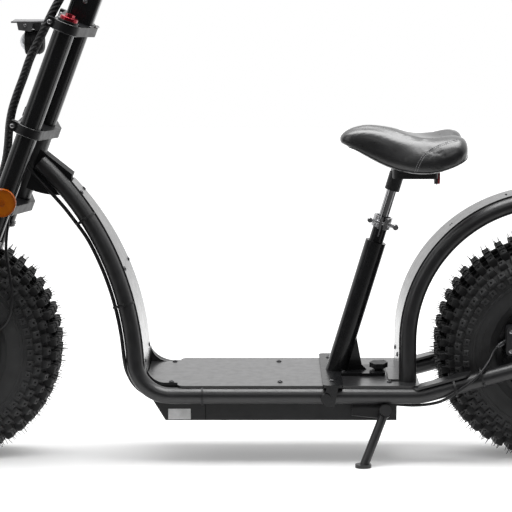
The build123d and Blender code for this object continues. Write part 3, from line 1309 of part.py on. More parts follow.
# Brake calipers over the left discs, each on a plate from the axle
CALIPERS = {
    # name: (axle, direction from the axle, distance of the plate's outer face, rise of its hose fitting)
    "front": (FRONT_AXLE, 1, LEG_Y - LUG_SOCKET_R, 41.0),
    "rear": (REAR_AXLE, -1, RAIL_Y - STAY_R, -35.0),
}
hose_ends = {}
caliper_shapes = {}
for name, (axle, toward, plate_y, fitting_rise) in CALIPERS.items():
    body_x = axle.X + toward * CALIPER_REACH
    body_z = axle.Z + CALIPER_RISE
    fitting_out = Vector(toward * cos(radians(fitting_rise)), 0, sin(radians(fitting_rise)))
    fitting_root = Vector(body_x + toward * CALIPER_DEPTH / 3, -(CALIPER_IN_Y + CALIPER_OUT_Y) / 2, body_z)
    hose_ends[name] = fitting_root + fitting_out * FITTING_LENGTH
    with BuildPart() as caliper:
        with BuildSketch(side_plane(-plate_y + CALIPER_PLATE_T + FIT)):
            with BuildLine():
                CenterArc((axle.X, axle.Z), LUG_BOSS_R, 0, 360)
                CenterArc((body_x, body_z), CALIPER_DEPTH / 2, 0, 360)
            make_hull()
            with Locations((axle.X, axle.Z)):
                Circle(SPACER_R + FIT, mode=Mode.SUBTRACT)
        extrude(amount=CALIPER_PLATE_T)
        with BuildSketch(side_plane(-CALIPER_IN_Y)):
            with Locations((body_x, body_z)):
                RectangleRounded(CALIPER_DEPTH, CALIPER_LENGTH, 8)
        extrude(amount=CALIPER_OUT_Y - CALIPER_IN_Y)
        with BuildSketch(side_plane(-HUB_BOSS_HALF_WIDTH + CALIPER_GAP)):
            with Locations((axle.X, axle.Z)):
                Circle(DISC_R + CALIPER_GAP)
        extrude(amount=DISC_T + 2 * CALIPER_GAP, mode=Mode.SUBTRACT)
        with BuildSketch(side_plane(-CALIPER_IN_Y)):
            with Locations((axle.X, axle.Z)):
                Circle(DISC_R * 0.6)
        extrude(amount=plate_y - CALIPER_IN_Y - CALIPER_PLATE_T - FIT, mode=Mode.SUBTRACT)
        with BuildSketch(side_plane(-CALIPER_IN_Y + FIT)):
            with Locations((axle.X, axle.Z)):
                Circle(RIM_FLANGE_R + CALIPER_GAP * 2)
        extrude(amount=HUB_BOSS_HALF_WIDTH - CALIPER_GAP - CALIPER_IN_Y - FIT, mode=Mode.SUBTRACT)
        with BuildSketch(Plane(origin=fitting_root, z_dir=fitting_out)):
            Circle(FITTING_R)
        extrude(amount=FITTING_LENGTH)
    caliper_shapes[name] = caliper.part
    write(caliper, f"{name}_caliper")

# Cable bundle in front of the fork, brake hoses, and the loom under the left side tube
LOOM_R = 4.0
HOSE_R = 3.2
BUNDLE_R = 9.0
BUNDLE_ROUTE = [
    # backwards, to the side, up the steering axis
    (-21, -14, 893),
    (-36, -22, 868),
    (-46, -30, 836),
    (-54, -34, 800),
    (-60, -38, 765),
    (-64, -40, 728),
    (-68, -41, 690),
    (-73, -42, 652),
    (-72, -42, 611),
    (-73, -41, 571),
    (-72, -40, 533),
    (-66, -36, 497),
    (-57, -28, 462),
    (-50, -20, 427),
    (-47.5, -16, 394),
    (-47, -15, CLAMP_HEIGHTS["lower"] + CLAMP_T / 2),
]
FRONT_HOSE_ROUTE = [
    FORK.from_local_coords(Vector(-8, -57, CLAMP_HEIGHTS["lower"] - CLAMP_T / 2)),
    (-505.5, -59, 528),
    (-508.5, -65, 499),
    (-510.5, -75, 468),
    (-506, -85, 436),
    (-499.5, -92, 400),
    (-496.5, -95.5, 362),
    (-501, -95.5, 330),
    (-513.5, -91, 306),
    hose_ends["front"],
]
REAR_HOSE_ROUTE = [
    hose_ends["rear"],
    (521, -91, 248),
    (514, -102, 237),
    (504, -117, 226),
    (490, -131, 211),
    (466, -139, 191),
    (441, -139, 173),
    (423, -133, 158),
    (403, -123, 145),
    (377, -113, 137),
    (349, -104, 133),
    (BOX_REAR_X - BOX_WALL, -88, 131),
]


def under_neck(angle):
    """A point of the loom against the underside of the left side tube."""
    radius = NECK_R - RAIL_R - LOOM_R - STAND_GAP
    centre_x, centre_up = NECK_CENTRE
    plane = leaning_plane(RAIL_Y, RAIL_Z, NECK_LEAN, LEFT)
    across = centre_x + radius * cos(radians(angle))
    return plane.from_local_coords(Vector(across, centre_up + radius * sin(radians(angle)), 0))


NECK_LOOM_ROUTE = [
    (-467, -HEAD_R, 636),
    (-441, -33, 606),
    (-414, -38, 578),
    (-387, -41.5, 548),
    *[under_neck(angle) for angle in (30, 26, 21.5, 17, 12.5, 8, 4)],
    (-259, -92, 207),
    (-246, -86, 177),
    (-228, -81, 157),
    (-203, -79, 148),
]


def cable(points, radius):
    """A round cable along straight runs that are joined by the largest arcs they leave room for."""
    places = [Vector(*point) for point in points]
    bends = []
    for before, corner, after in zip(places, places[1:], places[2:]):
        shorter = min((corner - before).length, (after - corner).length)
        turn = (corner - before).get_angle(after - corner)
        bends.append(0.45 * shorter / tan(radians(turn / 2)))
    print("bend radii", [round(bend) for bend in bends])
    with BuildLine() as route:
        FilletPolyline(*places, radius=bends)
    with BuildPart() as tube:
        with BuildSketch(start_plane(route.line)):
            Circle(radius)
        sweep(path=route.line)
    return tube


CABLES = {
    # name: (points, radius, what its ends are seated on)
    "cable_bundle": (
        [FORK.from_local_coords(Vector(*point)) for point in BUNDLE_ROUTE],
        BUNDLE_R,
        [stem.part, handlebar.part, clamp_shapes["lower"]],
    ),
    "front_hose": (FRONT_HOSE_ROUTE, HOSE_R, [clamp_shapes["lower"], caliper_shapes["front"]]),
    "rear_hose": (REAR_HOSE_ROUTE, HOSE_R, [caliper_shapes["rear"], box_shape]),
    "neck_loom": (NECK_LOOM_ROUTE, LOOM_R, [head_tube.part, box_shape]),
}
for name, (points, radius, seats) in CABLES.items():
    with BuildPart() as trimmed:
        add(cable(points, radius).part)
        for seat in seats:
            add(seat, mode=Mode.SUBTRACT)
    write(trimmed, name)
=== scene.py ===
"""Electric scooter with fat knobby tyres: materials, tyre tread, saddle cover, bolts, ties and fittings."""

import random
from math import cos, pi, radians, sin, tan

import bpy
from mathutils import Matrix, Vector, bvhtree


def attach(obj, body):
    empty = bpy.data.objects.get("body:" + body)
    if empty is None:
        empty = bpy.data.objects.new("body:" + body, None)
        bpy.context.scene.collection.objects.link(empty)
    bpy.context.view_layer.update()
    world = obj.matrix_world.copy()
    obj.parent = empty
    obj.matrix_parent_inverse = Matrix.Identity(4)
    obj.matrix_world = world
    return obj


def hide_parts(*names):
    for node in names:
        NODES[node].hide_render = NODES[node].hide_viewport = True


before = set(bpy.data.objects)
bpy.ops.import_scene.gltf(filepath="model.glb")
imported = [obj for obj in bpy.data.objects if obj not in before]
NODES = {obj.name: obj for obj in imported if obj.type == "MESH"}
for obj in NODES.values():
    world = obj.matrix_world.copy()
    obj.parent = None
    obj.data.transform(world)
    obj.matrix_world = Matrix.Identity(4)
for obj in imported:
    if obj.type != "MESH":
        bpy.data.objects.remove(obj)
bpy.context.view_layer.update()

# The upright scooter leans on its stand: its frame in millimetres to the stored frame in metres
LEAN = radians(6.0)
STORED_SHIFT = (0.0, 114.121, -11.2799)
UPRIGHT = Matrix.Scale(0.001, 4) @ Matrix.Rotation(LEAN, 4, "X") @ Matrix.Translation(STORED_SHIFT)
FROM_STORED = UPRIGHT.inverted()

# Where the photograph was taken from, in the upright scooter's frame
CAMERA_PLACE = Vector((16.8, -3831.0, 1206.2))
CAMERA_PITCH = 0.1983
FOCAL_PIXELS = 1817.3
PHOTO_PIXELS = 512


# Materials


class Tree:
    """The nodes of one material or of the world."""

    def __init__(self, owner):
        owner.use_nodes = True
        self.nodes = owner.node_tree.nodes
        self.links = owner.node_tree.links

    def link(self, out, into):
        self.links.new(out, into)

    def math(self, operation, *values, kind="ShaderNodeMath"):
        """A math node that is fed with sockets and numbers."""
        node = self.nodes.new(kind)
        node.operation = operation
        for socket, value in zip(node.inputs, values):
            if isinstance(value, bpy.types.NodeSocket):
                self.link(value, socket)
            else:
                socket.default_value = value
        return node.outputs["Value"]

    def ranged(self, value, from_low, from_high, low, high, smooth=False):
        """A value brought from one range to another."""
        ramp = self.nodes.new("ShaderNodeMapRange")
        if smooth:
            ramp.interpolation_type = "SMOOTHSTEP"
        ramp.inputs["From Min"].default_value = from_low
        ramp.inputs["From Max"].default_value = from_high
        ramp.inputs["To Min"].default_value = low
        ramp.inputs["To Max"].default_value = high
        self.link(value, ramp.inputs["Value"])
        return ramp.outputs["Result"]


class Look(Tree):
    """A node material built round one Principled shader."""

    def __init__(self, name, color, rough, metal=0.0, spec=0.5, coat=0.0, coat_rough=0.1, sheen=0.0):
        self.mat = bpy.data.materials.new(name)
        super().__init__(self.mat)
        self.shader = self.nodes["Principled BSDF"]
        self.put("Base Color", (*color, 1.0))
        self.put("Roughness", rough)
        self.put("Metallic", metal)
        self.put("Specular IOR Level", spec)
        self.put("Coat Weight", coat)
        self.put("Coat Roughness", coat_rough)
        self.put("Sheen Weight", sheen)
        self.coords = self.nodes.new("ShaderNodeTexCoord").outputs["Object"]
        self.color = color
        self.rough = rough
        self.normal = None

    def put(self, socket, value):
        self.shader.inputs[socket].default_value = value

    def noise(self, scale, detail=3.0, stretch=None):
        tex = self.nodes.new("ShaderNodeTexNoise")
        tex.inputs["Scale"].default_value = scale
        tex.inputs["Detail"].default_value = detail
        source = self.coords
        if stretch:
            mapping = self.nodes.new("ShaderNodeMapping")
            mapping.inputs["Scale"].default_value = stretch
            self.link(source, mapping.inputs["Vector"])
            source = mapping.outputs["Vector"]
        self.link(source, tex.inputs["Vector"])
        return tex.outputs["Fac"]

    def voronoi(self, scale, feature="F1"):
        tex = self.nodes.new("ShaderNodeTexVoronoi")
        tex.feature = feature
        tex.inputs["Scale"].default_value = scale
        self.link(self.coords, tex.inputs["Vector"])
        return tex.outputs["Distance"]

    def spread(self, noise, low, high):
        """The middle of a noise, where nearly all of it lies, spread from low to high."""
        return self.ranged(noise, 0.3, 0.7, low, high)

    def vary_rough(self, scale, amount, stretch=None):
        least = max(self.rough - amount, 0.02)
        most = min(self.rough + amount, 1.0)
        out = self.spread(self.noise(scale, stretch=stretch), least, most)
        self.link(out, self.shader.inputs["Roughness"])

    def vary_color(self, scale, low, high):
        mix = self.nodes.new("ShaderNodeMix")
        mix.data_type = "RGBA"
        mix.inputs["A"].default_value = (*[c * low for c in self.color], 1.0)
        mix.inputs["B"].default_value = (*[min(c * high, 1.0) for c in self.color], 1.0)
        self.link(self.spread(self.noise(scale, 4.0), 0.0, 1.0), mix.inputs["Factor"])
        self.link(mix.outputs["Result"], self.shader.inputs["Base Color"])

    def bump(self, height, strength, distance):
        """One more layer of relief on top of those before it."""
        node = self.nodes.new("ShaderNodeBump")
        node.inputs["Strength"].default_value = strength
        node.inputs["Distance"].default_value = distance
        self.link(height, node.inputs["Height"])
        if self.normal:
            self.link(self.normal, node.inputs["Normal"])
        self.normal = node.outputs["Normal"]
        self.link(self.normal, self.shader.inputs["Normal"])


def powder_coat(name, color, rough, grain=0.12, coat=0.0, spec=0.5):
    """Satin powder coat: fine orange peel, a softer large wave and slightly uneven gloss."""
    look = Look(name, color, rough, spec=spec, coat=coat, coat_rough=0.25)
    look.vary_rough(60.0, 0.06)
    look.vary_color(25.0, 0.85, 1.15)
    look.bump(look.noise(1400.0, 2.0), grain, 0.0002)
    look.bump(look.noise(240.0, 2.0), grain * 0.8, 0.0004)
    return look.mat


def bare_metal(name, color, rough):
    """Bare metal with a fine grain and slightly uneven gloss and tone."""
    look = Look(name, color, rough, metal=1.0)
    look.vary_rough(450.0, 0.08)
    look.vary_color(30.0, 0.88, 1.06)
    look.bump(look.noise(900.0, 2.0), 0.08, 0.0002)
    return look.mat


def moulded(name, color, rough, grain=700.0, spec=0.45):
    """Moulded plastic or rubber with a fine spark-eroded grain."""
    look = Look(name, color, rough, spec=spec)
    look.vary_rough(90.0, 0.07)
    look.vary_color(40.0, 0.8, 1.2)
    look.bump(look.noise(grain, 3.0), 0.2, 0.0003)
    return look.mat


def post_metal():
    """Satin post, brushed along its length."""
    look = Look("post_metal", (0.50, 0.50, 0.51), 0.14, metal=1.0)
    look.vary_rough(300.0, 0.07, stretch=(1.0, 1.0, 0.05))
    look.bump(look.noise(900.0, 2.0, stretch=(1.0, 1.0, 0.04)), 0.08, 0.0002)
    return look.mat


def red_anodised():
    """Red anodised aluminium of the fork's caps."""
    look = Look("red_anodised", (0.30, 0.006, 0.018), 0.28, metal=0.75, coat=0.2, coat_rough=0.15)
    look.vary_rough(200.0, 0.05)
    look.vary_color(80.0, 0.85, 1.15)
    look.bump(look.noise(1200.0, 2.0), 0.05, 0.0002)
    return look.mat


def tyre_rubber():
    """Dull rubber with a fine grain and an uneven tone."""
    look = Look("tyre_rubber", (0.030, 0.0303, 0.031), 0.60, spec=0.42, sheen=0.06)
    look.vary_rough(45.0, 0.08)
    look.vary_color(18.0, 0.75, 1.3)
    look.bump(look.noise(900.0, 3.0), 0.16, 0.0003)
    look.bump(look.noise(120.0, 2.0), 0.10, 0.0006)
    return look.mat


def saddle_leather():
    """Smooth pressed leather: small irregular cells, softened, and slow folds under tension."""
    look = Look("saddle_leather", (0.011, 0.011, 0.012), 0.33, spec=0.6, coat=1.0, coat_rough=0.32)
    look.vary_rough(55.0, 0.07)
    look.vary_color(30.0, 0.85, 1.18)
    look.bump(look.voronoi(620.0), 0.16, 0.0004)
    look.bump(look.noise(1500.0, 3.0), 0.08, 0.0002)
    look.bump(look.noise(26.0, 2.0), 0.06, 0.0015)
    return look.mat


def reflector(name, color):
    """Moulded prism reflector: a clear coat over a fine prism pattern."""
    look = Look(name, color, 0.30, spec=0.3, coat=0.15, coat_rough=0.08)
    look.vary_color(60.0, 0.9, 1.1)
    look.bump(look.voronoi(260.0, "DISTANCE_TO_EDGE"), 0.35, 0.0006)
    return look.mat


def spiral_wrap():
    """Cable bundle in a spiral-cut sleeve: ribs across its length."""
    look = Look("spiral_wrap", (0.013, 0.013, 0.014), 0.40)
    look.vary_rough(90.0, 0.06)
    look.vary_color(60.0, 0.8, 1.25)
    wave = look.nodes.new("ShaderNodeTexWave")
    wave.bands_direction = "Z"
    wave.inputs["Scale"].default_value = 42.0
    wave.inputs["Distortion"].default_value = 0.6
    wave.inputs["Detail"].default_value = 1.0
    tilt = look.nodes.new("ShaderNodeMapping")
    tilt.inputs["Rotation"].default_value = (0.35, 0.3, 0.0)
    look.link(look.coords, tilt.inputs["Vector"])
    look.link(tilt.outputs["Vector"], wave.inputs["Vector"])
    look.bump(wave.outputs["Fac"], 0.9, 0.0012)
    look.bump(look.noise(700.0, 2.0), 0.1, 0.0003)
    return look.mat


def lamp_glass():
    """Clear lens over a bright fluted reflector."""
    look = Look("lamp_glass", (0.42, 0.43, 0.45), 0.10, metal=0.8, coat=1.0, coat_rough=0.03)
    look.vary_color(90.0, 0.35, 1.5)
    look.vary_rough(120.0, 0.05)
    look.bump(look.voronoi(190.0, "DISTANCE_TO_EDGE"), 0.5, 0.0012)
    return look.mat


frame_black = powder_coat("frame_black", (0.014, 0.014, 0.015), 0.36, spec=0.75)
gusset_black = powder_coat("gusset_black", (0.011, 0.011, 0.012), 0.55, spec=0.2)
fork_black = powder_coat("fork_black", (0.010, 0.0102, 0.011), 0.20, grain=0.06, spec=0.4)
clamp_black = powder_coat("clamp_black", (0.011, 0.011, 0.012), 0.40, spec=0.26)
bracket_grey = powder_coat("bracket_grey", (0.13, 0.13, 0.135), 0.42)
plate_black = powder_coat("plate_black", (0.020, 0.020, 0.021), 0.34, grain=0.1, coat=0.8)
box_black = powder_coat("box_black", (0.011, 0.0113, 0.012), 0.42, spec=0.35)
wheel_black = powder_coat("wheel_black", (0.010, 0.010, 0.011), 0.30, spec=0.4)
caliper_black = powder_coat("caliper_black", (0.018, 0.018, 0.020), 0.38)
lever_black = powder_coat("lever_black", (0.020, 0.020, 0.022), 0.34)
bolt_silver = bare_metal("bolt_silver", (0.50, 0.50, 0.51), 0.24)
collar_silver = bare_metal("collar_silver", (0.46, 0.46, 0.47), 0.26)
bolt_dark = bare_metal("bolt_dark", (0.16, 0.16, 0.165), 0.30)
disc_steel = bare_metal("disc_steel", (0.30, 0.30, 0.31), 0.34)
brass = bare_metal("brass_fitting", (0.62, 0.42, 0.16), 0.28)
# Near-black for the mudguard's slots, where it is painted shade standing in for their recesses, and for the
# battery box's dark seam
slot_shade_and_seam_dark = moulded("slot_shade_and_seam_dark", (0.006, 0.006, 0.006), 0.8, spec=0.1)
plastic_black = moulded("plastic_black", (0.016, 0.016, 0.017), 0.48)
cable_black = moulded("cable_black", (0.012, 0.012, 0.013), 0.38, grain=500.0)
thread_grey = moulded("thread_grey", (0.34, 0.34, 0.35), 0.7, grain=2500.0)
plate_white = moulded("plate_white", (0.72, 0.72, 0.72), 0.45, grain=900.0)
grip_black = moulded("grip_black", (0.014, 0.014, 0.015), 0.62, grain=500.0)
wrap_black = spiral_wrap()
lens_clear = lamp_glass()
post_satin = post_metal()
cap_red = red_anodised()
rubber = tyre_rubber()
leather = saddle_leather()
amber = reflector("amber_reflector", (0.52, 0.13, 0.002))
amber_rim = reflector("amber_rim", (0.40, 0.085, 0.002))
tail_red = reflector("tail_reflector_red", (0.40, 0.008, 0.012))

NODE_LOOKS = {
    frame_black: [
        "rail_left", "rail_right", "head_tube", "dropouts", "hoop_left", "hoop_right",
        "hoop_bridge", "stays", "stand_bracket", "stand_leg",
    ],
    fork_black: [
        "steerer", "fork_legs", "sliders", "stem", "handlebar", "seat_base", "mast", "inner_tube",
    ],
    clamp_black: ["clamp_lower", "clamp_middle", "clamp_upper"],
    gusset_black: ["head_gusset"],
    bracket_grey: ["lamp_bracket"],
    plate_black: ["cover_plate", "deck_plate", "mudguard"],
    box_black: ["battery_box", "battery_pack"],
    wheel_black: ["front_rim", "rear_rim"],
    caliper_black: ["front_caliper", "rear_caliper"],
    lever_black: ["brake_levers"],
    bolt_silver: ["front_axle", "rear_axle"],
    disc_steel: ["front_disc", "rear_disc"],
    collar_silver: ["seat_collar"],
    post_satin: ["saddle_post"],
    cap_red: ["leg_caps"],
    rubber: ["front_tyre", "rear_tyre"],
    grip_black: ["grips"],
    wrap_black: ["cable_bundle"],
    cable_black: ["front_hose", "rear_hose", "neck_loom"],
    plastic_black: ["display", "headlamp", "star_knob", "saddle_pan"],
    leather: ["saddle"],
    amber: ["side_reflectors"],
    tail_red: ["tail_reflector"],
}
for look, names in NODE_LOOKS.items():
    for name in names:
        mesh = NODES[name].data
        mesh.materials.clear()
        mesh.materials.append(look)

# Sizes that the added pieces share with the solids, in millimetres
WHEELBASE = 1292.0
TYRE_R = 243.0
RAIL_Y = 115.0
RAIL_Z = 157.5
RAIL_KINK_X = 364.0
RAIL_RISE = radians(15.5)
NECK_R = 628.0
NECK_CENTRE = (-867.24, 34.7)
NECK_LEAN = radians(10.9)
COVER_OUT_R = 648.7
DECK_TOP_Z = 180.0
BOX_SIDE_Y = 94.0
RAKE = radians(20.9)
FORK_SHIFT_X = 30.8
LEG_OFFSET = 19.2
LEG_Y = 115.0
LUG_R = 40.5
CLAMP_UPS = (349.8, 517.1, 744.2)
BASE_TOP_Z = 186.0
MAST_FOOT_X = 191.5
MAST_TILT = radians(16.3)
HUB_COVER_Y = 54.0
DISC_IN_Y = -80.0
DISC_T = 3.0
CALIPER_REACH = 78.0
CALIPER_RISE = 30.0
CALIPER_OUT_Y = 104.0
CALIPER_DEPTH = 44.0

AXLES = {"front": Vector((-WHEELBASE / 2, 0, TYRE_R)), "rear": Vector((WHEELBASE / 2, 0, TYRE_R))}
AXLE_BODIES = {"front": "steering", "rear": "frame"}

# Edges that turn by more than this are drawn sharp
SHARP_ANGLE = radians(32.0)

# Frames whose Z runs along the steering axis and along the saddle's mast
FORK = (
    Matrix.Translation(AXLES["front"])
    @ Matrix.Rotation(RAKE, 4, "Y")
    @ Matrix.Translation((FORK_SHIFT_X, 0, 0))
)
MAST = (
    Matrix.Translation((MAST_FOOT_X, 0, BASE_TOP_Z))
    @ Matrix.Rotation(MAST_TILT, 4, "Y")
    @ Matrix.Rotation(-pi / 2, 4, "Z")
)


def facing(place, direction, across=(0, 0, 1)):
    """A frame at one place whose Z looks along a direction."""
    z = Vector(direction).normalized()
    x = Vector(across).cross(z)
    if x.length < 0.01:
        x = Vector((1, 0, 0))
    x.normalize()
    y = z.cross(x)
    turned = Matrix((x, y, z)).transposed().to_4x4()
    return Matrix.Translation(place) @ turned


def circle(radius, height, sides):
    """Points of a circle about Z."""
    turns = [2 * pi * j / sides for j in range(sides)]
    return [(radius * cos(turn), radius * sin(turn), height) for turn in turns]


class Shape:
    """Vertices and faces gathered for one piece, in the upright scooter's millimetres."""

    def __init__(self):
        self.verts = []
        self.faces = []

    def rings(self, rings, pose=Matrix(), loop=False):
        """Skin rings of equally many points; the ends are capped, or joined in a loop."""
        start = len(self.verts)
        count = len(rings[0])
        for ring in rings:
            self.verts += [pose @ Vector(point) for point in ring]
        steps = len(rings) if loop else len(rings) - 1
        for i in range(steps):
            low = start + i * count
            high = start + ((i + 1) % len(rings)) * count
            for j in range(count):
                k = (j + 1) % count
                self.faces.append((low + j, low + k, high + k, high + j))
        if not loop:
            self.faces.append(tuple(start + j for j in reversed(range(count))))
            last = start + (len(rings) - 1) * count
            self.faces.append(tuple(last + j for j in range(count)))

    def lathe(self, profile, pose, sides, loop=False):
        """Turn (radius, height) points about the frame's Z."""
        self.rings([circle(r, h, sides) for r, h in profile], pose, loop)

    def block(self, size, pose, round_off):
        """A box with its edges taken off."""
        x, y, z = [s / 2 for s in size]
        c = min(round_off, x * 0.6, y * 0.6, z * 0.6)
        outline = [
            (x, -y + c), (x, y - c), (x - c, y), (-x + c, y),
            (-x, y - c), (-x, -y + c), (-x + c, -y), (x - c, -y),
        ]
        levels = ((-z, 1 - c / x, 1 - c / y), (-z + c, 1, 1), (z - c, 1, 1), (z, 1 - c / x, 1 - c / y))
        self.rings([[(px * sx, py * sy, h) for px, py in outline] for h, sx, sy in levels], pose)

    def tube(self, points, radius, sides):
        """A round tube along points; the radius is a number, or depends on the share of the way."""
        places = [Vector(p) for p in points]
        last = len(places) - 1
        rings = []
        for i, place in enumerate(places):
            ahead = places[min(i + 1, last)] - places[max(i - 1, 0)]
            pose = facing(place, ahead, (0.3, 0.9, 0.1))
            r = radius(i / last) if callable(radius) else radius
            rings.append([pose @ Vector(point) for point in circle(r, 0, sides)])
        self.rings(rings)

    def bolt(self, place, direction, radius, height, socket=True):
        """A button head with a hexagon socket, or a plain hexagon head."""
        pose = facing(place, direction)
        if not socket:
            self.lathe([(radius * 1.25, 0), (radius * 1.25, 0.8), (radius * 1.02, 0.9)], pose, 24)
            self.lathe([(radius, 0.9), (radius, height), (radius * 0.86, height + 0.7)], pose, 6)
            return
        head = [
            (radius * 1.18, 0), (radius * 1.18, 0.7), (radius, 0.8), (radius, height * 0.4),
            (radius * 0.86, height * 0.8), (radius * 0.6, height), (radius * 0.46, height),
            (radius * 0.44, height * 0.35),
        ]
        self.lathe(head, pose, 18)


def piece(name, shape, look, body, replaces=()):
    """Make a Blender object of a gathered shape and let it ride on its body."""
    mesh = bpy.data.meshes.new(name)
    mesh.from_pydata(shape.verts, [], shape.faces)
    mesh.transform(UPRIGHT)
    mesh.validate()
    mesh.shade_smooth()
    mesh.set_sharp_from_angle(angle=SHARP_ANGLE)
    mesh.materials.append(look)
    obj = bpy.data.objects.new(name, mesh)
    bpy.context.scene.collection.objects.link(obj)
    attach(obj, body)
    if replaces:
        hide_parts(*replaces)
    return obj


def surface(obj):
    """A tree for finding places on an object's surface, in the stored frame."""
    return bvhtree.BVHTree.FromObject(obj, bpy.context.evaluated_depsgraph_get())


def seen_place(tree, eye, x, y, z):
    """Where the line of sight from an eye through a point meets a surface, and the normal there."""
    start = UPRIGHT @ Vector(eye)
    aim = UPRIGHT @ Vector((x, y, z))
    place, normal, _, _ = tree.ray_cast(start, (aim - start).normalized())
    if place is None:
        return None
    return FROM_STORED @ place, (FROM_STORED.to_3x3() @ normal).normalized()


# Tyres: carcass, staggered blocks, comb ribs and moulding whiskers
TREAD = [
    # distance to the side, radius
    (0, 228), (12, 227.6), (24, 226), (38, 222.5), (52, 217.5), (64, 211), (73, 203.5), (79.5, 195),
    (83.5, 185.5), (85.5, 176), (86, 169.5), (87.6, 168.4), (87.6, 165.4), (85.8, 164), (85.6, 156),
    (83.5, 146), (80, 136.5), (79.6, 133), (78.2, 132), (74.5, 125), (70.5, 118.5), (70, 106),
]
TREAD_INSIDE = [(61, 106), (61, 118), (72, 150), (66, 185), (44, 207), (0, 214)]
CARCASS_SIDES = 192
PITCHES = 48
TREAD_PHASE = 0.5
BLOCK_ROWS = [
    # along the profile from the crown, width, length, height, share of a pitch
    (0, 14.5, 15.5, 15.0, 0.0), (22, 14.5, 15.5, 15.0, 0.0), (44, 15, 15.5, 18.3, 0.0),
    (66, 14.5, 15.5, 12.0, 0.5), (86, 13.5, 15, 8.0, 0.0), (103, 11, 13, 4.5, 0.5),
]
BLOCK_RING = ((1, -1), (1, 0), (1, 1), (0, 1), (-1, 1), (-1, 0), (-1, -1), (0, -1))
HOLE_RING = ((0.7, -0.7), (1, 0), (0.7, 0.7), (0, 1), (-0.7, 0.7), (-1, 0), (-0.7, -0.7), (0, -1))
RIBBED_ROWS_TO = 44
RIB_STEP = 3.2
RIB_RISE = 2.2
# How many whiskers stand on each block of a row, and the height in metres that none goes below
WHISKER_ROWS = {0: 1, 22: 2, 44: 2, 66: 1}
WHISKER_LOWEST = 0.0015
WHISKER_SHORTEST = 9.0
WHISKER_LONGEST = 15.0
WHISKER_BEND = 2.2
MARK_R = 151
MARK_Y = 84.6
MARK_STEP = 0.09
MARK_START = 0.7


def on_tread(along):
    """Place, outward direction and sideways direction on the tyre's half profile."""
    left = abs(along)
    side = -1 if along < 0 else 1
    for (y0, r0), (y1, r1) in zip(TREAD, TREAD[1:]):
        run = Vector((y1 - y0, r1 - r0))
        if left <= run.length:
            run.normalize()
            place = Vector((y0, r0)) + run * left
            outward = Vector((side * -run.y, run.x))
            return Vector((side * place.x, place.y)), outward, Vector((side * run.x, run.y))
        left -= run.length


def tyre_shape(axle):
    """The whole tyre: its hollow carcass and the tread that stands on it."""
    shape = Shape()
    wheel = Matrix.Translation(axle) @ Matrix.Rotation(-pi / 2, 4, "X")
    section = [*TREAD, *TREAD_INSIDE]
    section += [(-y, r) for y, r in reversed(section[1:-1])]
    shape.lathe([(r, y) for y, r in section], wheel, CARCASS_SIDES, loop=True)

    rng = random.Random(11)
    for along, width, length, height, share in BLOCK_ROWS:
        for side in (1, -1) if along else (1,):
            place, normal, tangent = on_tread(side * along)
            if along == 0:
                normal = Vector((0, 1))
            for pitch in range(PITCHES):
                angle = 2 * pi * (pitch + share + TREAD_PHASE) / PITCHES
                out = Vector((sin(angle), 0, cos(angle)))
                ahead = Vector((cos(angle), 0, -sin(angle)))

                def spot(a, b, h):
                    y, r = place + tangent * a + normal * h
                    return Vector((axle.x, 0, axle.z)) + out * r + ahead * b + Vector((0, y, 0))

                # Each block is wide at its foot, chamfered at its top, with a small hole in the middle
                levels = []
                for h, grow in ((-2.5, 2.0), (height * 0.25, 0.9), (height - 1.1, 0.0), (height, -1.2)):
                    w = width / 2 + grow
                    l = length / 2 + grow
                    levels.append([spot(w * a, l * b, h) for a, b in BLOCK_RING])
                hole = min(width, length) * 0.19
                for h in (height, height - min(3.5, height * 0.6)):
                    levels.append([spot(hole * a, hole * b, h) for a, b in HOLE_RING])
                shape.rings(levels if side > 0 else [list(reversed(ring)) for ring in levels])

                if along <= RIBBED_ROWS_TO:
                    for n in (-1, 0, 1):
                        rib_turn = pi / PITCHES + n * RIB_STEP / TYRE_R
                        rib_out = Vector((sin(angle + rib_turn), 0, cos(angle + rib_turn)))
                        centre = Vector((axle.x, place.x, axle.z)) + rib_out * (place.y + RIB_RISE)
                        shape.block((width * 0.8, 1.0, 7.0), facing(centre, rib_out, (0, 1, 0)), 0.2)

                for n in range(WHISKER_ROWS.get(along, 0)):
                    foot = spot(rng.uniform(-4, 4), (n - 0.5) * 10 + rng.uniform(-2, 2), height - 1.5)
                    long = rng.uniform(WHISKER_SHORTEST, WHISKER_LONGEST)
                    bend = ahead * rng.uniform(-WHISKER_BEND, WHISKER_BEND)
                    bend += Vector((0, rng.uniform(-2, 2), 0))
                    middle = foot + out * long * 0.55 + bend * 0.2
                    tip = foot + out * long + bend
                    if (UPRIGHT @ tip).z > WHISKER_LOWEST:
                        shape.tube([foot, middle, tip], lambda t: 0.9 - 0.4 * t, 4)
    return shape


def side_marks(shape, axle, side):
    """Short raised bars in three plain groups on the smooth sidewall."""
    for group in range(3):
        for bar in range(7):
            angle = 2 * pi * group / 3 + MARK_STEP * (bar - 3) + MARK_START
            out = Vector((sin(angle), 0, cos(angle)))
            centre = Vector(axle) + out * MARK_R + Vector((0, side * MARK_Y, 0))
            shape.block((1.6, 11, 1.6), facing(centre, (0, side, 0), out.cross(Vector((0, 1, 0)))), 0.4)


for end, axle in AXLES.items():
    tyre = tyre_shape(axle)
    for side in (-1, 1):
        side_marks(tyre, axle, side)
    piece(f"{end}_tyre_detail", tyre, rubber, f"{end}_wheel", [f"{end}_tyre"])

# Brake discs with their windows and slots: rings of cells between radii, some of them cut out
DISC_STEPS = 144
DISC_RADII = [11.1, 20.0, 31.0, 36.0, 55.0, 60.0, 63.5, 67.5, 71.0, 75.0, 82.0]
WINDOW_RINGS = (2, 3)
INNER_SLOT_RING = 6
OUTER_SLOT_RING = 8


